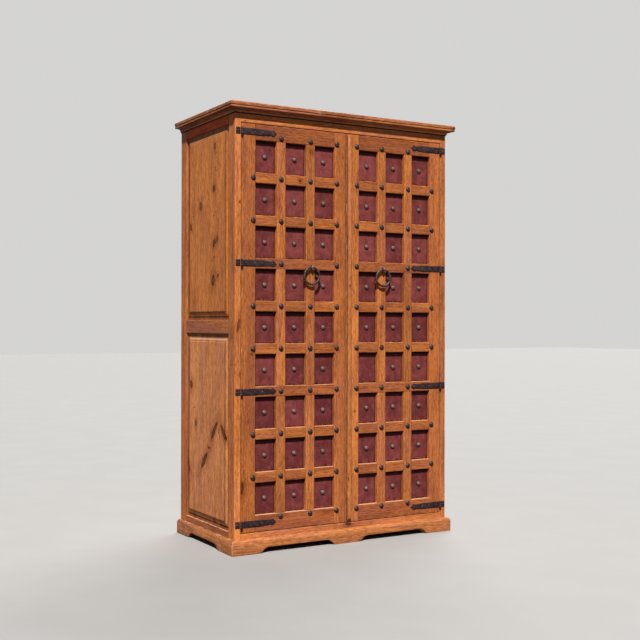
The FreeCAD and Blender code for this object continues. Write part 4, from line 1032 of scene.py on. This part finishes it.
def knuckle(side, low, high):
    """One curl of the barrel, with its ends eased and its middle a hair thinner."""
    ease_off, gap, waist = 0.0007, 0.0002, 0.0002
    levels = (low + gap, low + gap + ease_off, (low + high) / 2, high - gap - ease_off, high - gap)
    eased = barrel_radius - ease_off
    return round_bar(side * hinge_x, hinge_y, levels, (eased, barrel_radius, barrel_radius - waist,
                                                       barrel_radius, eased))


hinge_levels = [(z0 + z1) / 2 for z0, z1 in doors["left_door"]["rails"]]
third = hinge_height / 3
outline_along, outline_half = np.array(strap_outline).T
fine_along = fine_steps(outline_along, 0.05)
strap_half = np.interp(fine_along, outline_along, outline_half) * hinge_height / 2
strap_along = fine_along * strap_length + bar_start * (1 - fine_along)
leaf_along = np.linspace(0, leaf_edge - hinge_x - bar_start, 7)
leaf_half = np.full(7, hinge_height / 2)
pin_radii = (0.0016, 0.002, 0.003, 0.003, 0.0057, 0.006, 0.0048)
leaves, pins = [], []
for door, side in (("left_door", -1), ("right_door", 1)):
    straps = []
    for level, z in enumerate(hinge_levels):
        low, seed = z - hinge_height / 2, 820 + 10 * level + (side > 0)
        high = low + hinge_height
        straps += [forged_bar(side, z, strap_along, strap_half, strap_thickness, side * hinge_x, seed),
                   knuckle(side, low + third, low + 2 * third)]
        leaves += [forged_bar(side, z, leaf_along, leaf_half, leaf_thickness, side * leaf_edge, seed + 5),
                   knuckle(side, low, low + third), knuckle(side, low + 2 * third, high)]
        pin_levels = (low - 0.009, low - 0.0085, low, high, high + 0.0002, high + 0.0011, high + 0.0015)
        pins.append(round_bar(side * hinge_x, hinge_y, pin_levels, pin_radii))
    piece(door + "_forged_straps", straps, door, door + "_hinge_straps", strap_iron)
piece("forged_leaves", leaves, "carcass", "hinge_leaves", strap_iron)
piece("turned_pins", pins, "carcass", "hinge_pins", strap_iron)

# Hinge nails.
# Small round heads, four through each strap and two through each leaf.
nail_iron = iron("nail_iron", (66, 50, 48), (112, 92, 86), (84, 56, 48), metallic=0.6)
nail_radius, nail_height = 0.0035, 0.002
leaf_nail_reach = leaf_edge - hinge_x - barrel_radius


def nail_heads(side, start, reach, shares, bar_thickness, seed):
    """The heads on the bars of one side of the cabinet, at shares of a reach inwards from the start."""
    return [domed_head(side * (start - share * reach), face_y - bar_thickness, z, nail_radius, nail_height,
                       seed + level, around=10, rings=4)
            for level, z in enumerate(hinge_levels) for share in shares]


heads = []
for door, side in (("left_door", -1), ("right_door", 1)):
    strap_heads = nail_heads(side, hinge_x, strap_length, (0.13, 0.38, 0.60, 0.885), strap_thickness, 900)
    piece(door + "_nail_heads", strap_heads, door, door + "_strap_nails", nail_iron)
    heads += nail_heads(side, leaf_edge, leaf_nail_reach, (0.22, 0.62), leaf_thickness, 950)
piece("leaf_nail_heads", heads, "carcass", "leaf_nails", nail_iron)

# Ring pulls.
# A ring of square bar twisted along its length, which hangs in an eye whose shank is driven into the door.
# The eye's iron is paler all over, a painted highlight.
ring_iron = iron("ring_iron", (26, 19, 19), (92, 80, 76), (46, 32, 28), metallic=0.45)
eye_highlight_iron = iron("eye_highlight_iron", (92, 78, 74), (150, 136, 130), (96, 70, 60), metallic=0.7)
ring_radius, ring_bar, eye_radius, eye_bar, eye_shank = 0.0395, 0.006, 0.00965, 0.00275, 0.0035


def hoop(centre, radius, spin, bar_radius, turns, corner, count, around):
    """A closed ring of bar, whose section is a circle where corner is 2 and nearer to a square where it is
    more, and makes that many turns as it goes round. Spin is the two axes that the ring lies in and the one
    that it faces."""
    u = np.linspace(0, 2 * np.pi, count, endpoint=False)[:, None]
    v = np.linspace(0, 2 * np.pi, around, endpoint=False)[None]
    reach = (np.abs(np.cos(v)) ** corner + np.abs(np.sin(v)) ** corner) ** (1 / corner)
    size = np.minimum(bar_radius / (2 ** (0.5 - 1 / corner)) / reach, bar_radius)
    turned = v + turns * u
    outwards, facing = radius + size * np.cos(turned), size * np.sin(turned)
    flat = np.stack([outwards * np.cos(u), outwards * np.sin(u), facing], -1)
    return skin(np.array(centre) + flat @ np.array(spin, float), looped=True)


for name in ("left", "right"):
    low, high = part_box(name + "_ring_pull")
    centre = ((low.x + high.x) / 2, (low.y + high.y) / 2, (low.z + high.z) / 2)
    ring = hoop(centre, ring_radius, ((1, 0, 0), (0, 0, 1), (0, 1, 0)), ring_bar, turns=5, corner=4,
                count=176, around=16)
    piece(name + "_twisted_ring", [ring], name + "_ring", name + "_ring_pull", ring_iron)
    low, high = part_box(name + "_door_ring_eye")
    eye = (centre[0], low.y + eye_radius + eye_bar, high.z - eye_radius - eye_bar)
    loop = hoop(eye, eye_radius, ((0, 1, 0), (0, 0, 1), (1, 0, 0)), eye_bar, turns=0, corner=2, count=40,
                around=12)
    angle = np.linspace(0, 2 * np.pi, 12, endpoint=False)[None]
    depth = np.array((eye[1] + eye_radius - 0.001, face_y - 0.0005, face_y, high.y - 0.003, high.y))[:, None]
    radii = np.array((0.0024, 0.0030, eye_shank, eye_shank, 0.001))[:, None]
    x, z = eye[0] + radii * np.cos(angle), eye[2] + radii * np.sin(angle)
    shank = skin(np.stack([x, depth + 0 * angle, z], -1))
    piece(name + "_door_driven_eye", [loop, shank], name + "_door", name + "_door_ring_eye",
          eye_highlight_iron)

# Door stop and catches.
# A strip behind the top rail that the doors close against, with two magnetic catches under it and a steel
# plate on each door.
low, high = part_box("door_stop")
piece("door_stop_planed", [board(low, high, 0, 960)], "carcass", "door_stop", inside_pine)


def plain_finish(name, first, second, roughness, metallic, speckle):
    """A smooth bought-in finish: two close colours in fine speckles."""
    material, tree, shader = new_material(name)
    place = add(tree, "TexCoord", {}).outputs["Object"]
    grain = cloud(tree, place, (speckle, speckle, speckle), 3.0).outputs[0]
    colour = blend_colours(tree, ease(tree, grain, 0.3, 0.7), paint(*first), paint(*second))
    link(tree, shader.inputs, {"Base Color": colour,
                               "Roughness": calc(tree, "MULTIPLY_ADD", grain, 0.2, roughness)})
    shader.inputs["Metallic"].default_value = metallic
    return material


def cover(node, material):
    """Gives a CAD node a better finish in every material slot."""
    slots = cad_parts[node].data.materials
    slots.clear()
    slots.append(material)


catch_case_finish = plain_finish("catch_case_finish", (74, 56, 44), (92, 72, 58), roughness=0.4,
                                 metallic=0.0, speckle=500.0)
cover("magnet_catches", catch_case_finish)
catch_steel_finish = plain_finish("catch_steel_finish", (168, 168, 166), (196, 196, 194), roughness=0.25,
                                  metallic=1.0, speckle=900.0)
for door in doors:
    cover(door + "_catch_plate", catch_steel_finish)

# Room.
# A pale plain floor, a high lamp in front and a little to the left, a weaker wide one behind, and an even
# pale sky.
floor_mesh = bpy.data.meshes.new("pale_floor")
floor_mesh.from_pydata([(-30, -30, 0), (30, -30, 0), (30, 30, 0), (-30, 30, 0)], [], [(0, 1, 2, 3)])
floor = new_object("pale_floor", floor_mesh)
floor_finish = plain_finish("floor_finish", (170, 168, 165), (173, 171, 168), roughness=0.8, metallic=0.0,
                            speckle=3.0)
floor_tree = floor_finish.node_tree
floor_shader = floor_tree.nodes["Principled BSDF"]
seen = add(floor_tree, "LightPath", {}).outputs["Is Camera Ray"]
speckled = floor_shader.inputs["Base Color"].links[0].from_socket
pale = blend_colours(floor_tree, seen, (0.12, 0.115, 0.11, 1.0), speckled)
floor_tree.links.new(pale, floor_shader.inputs["Base Color"])
floor_shader.inputs["Specular IOR Level"].default_value = 0.1
floor_mesh.materials.append(floor_finish)


def lamp(name, direction, strength, angle):
    """A distant lamp, as wide as the given angle, whose light travels in the given direction."""
    light = bpy.data.lights.new(name, "SUN")
    light.energy = strength
    light.angle = math.radians(angle)
    made = new_object(name, light)
    x, y, z = direction
    made.rotation_euler = (math.atan2(math.hypot(x, y), -z), 0.0, math.atan2(y, x) - math.pi / 2)


lamp("key_lamp", (0.345, 0.57, -0.76), strength=5.0, angle=3.0)
lamp("back_lamp", (-0.6, -0.55, -0.5), strength=2.2, angle=50.0)
world = bpy.data.worlds.new("pale_room")
bpy.context.scene.world = world
world.use_nodes = True
sky = world.node_tree
path = add(sky, "LightPath", {}).outputs
mirrored = calc(sky, "MAXIMUM", path["Is Glossy Ray"], path["Is Transmission Ray"])
seen = calc(sky, "MAXIMUM", path["Is Camera Ray"], mirrored)
shown = blend_colours(sky, seen, (0.055, 0.055, 0.056, 1.0), (0.66, 0.655, 0.65, 1.0))
sky.links.new(shown, sky.nodes["Background"].inputs["Color"])

# Camera.
# It stands at the photograph's place: 4.5 m in front, 2.6 m to the left and 1.04 m up, and looks level to the
# right.
camera_data = bpy.data.cameras.new("camera")
focal_pixels, photo_pixels, film_width = 1051.377, 640, 36
camera_data.lens = focal_pixels / photo_pixels * film_width
camera_data.sensor_width = film_width
camera = new_object("camera", camera_data)
camera.matrix_world = (Matrix.Translation((-2.62641, -4.54703, 1.04122)) @ Matrix.Rotation(-0.52801, 4, "Z")
                       @ Matrix.Rotation(math.pi / 2 + 0.00296, 4, "X") @ Matrix.Rotation(0.00164, 4, "Z"))
bpy.context.scene.camera = camera
bpy.context.scene.view_settings.view_transform = "Standard"
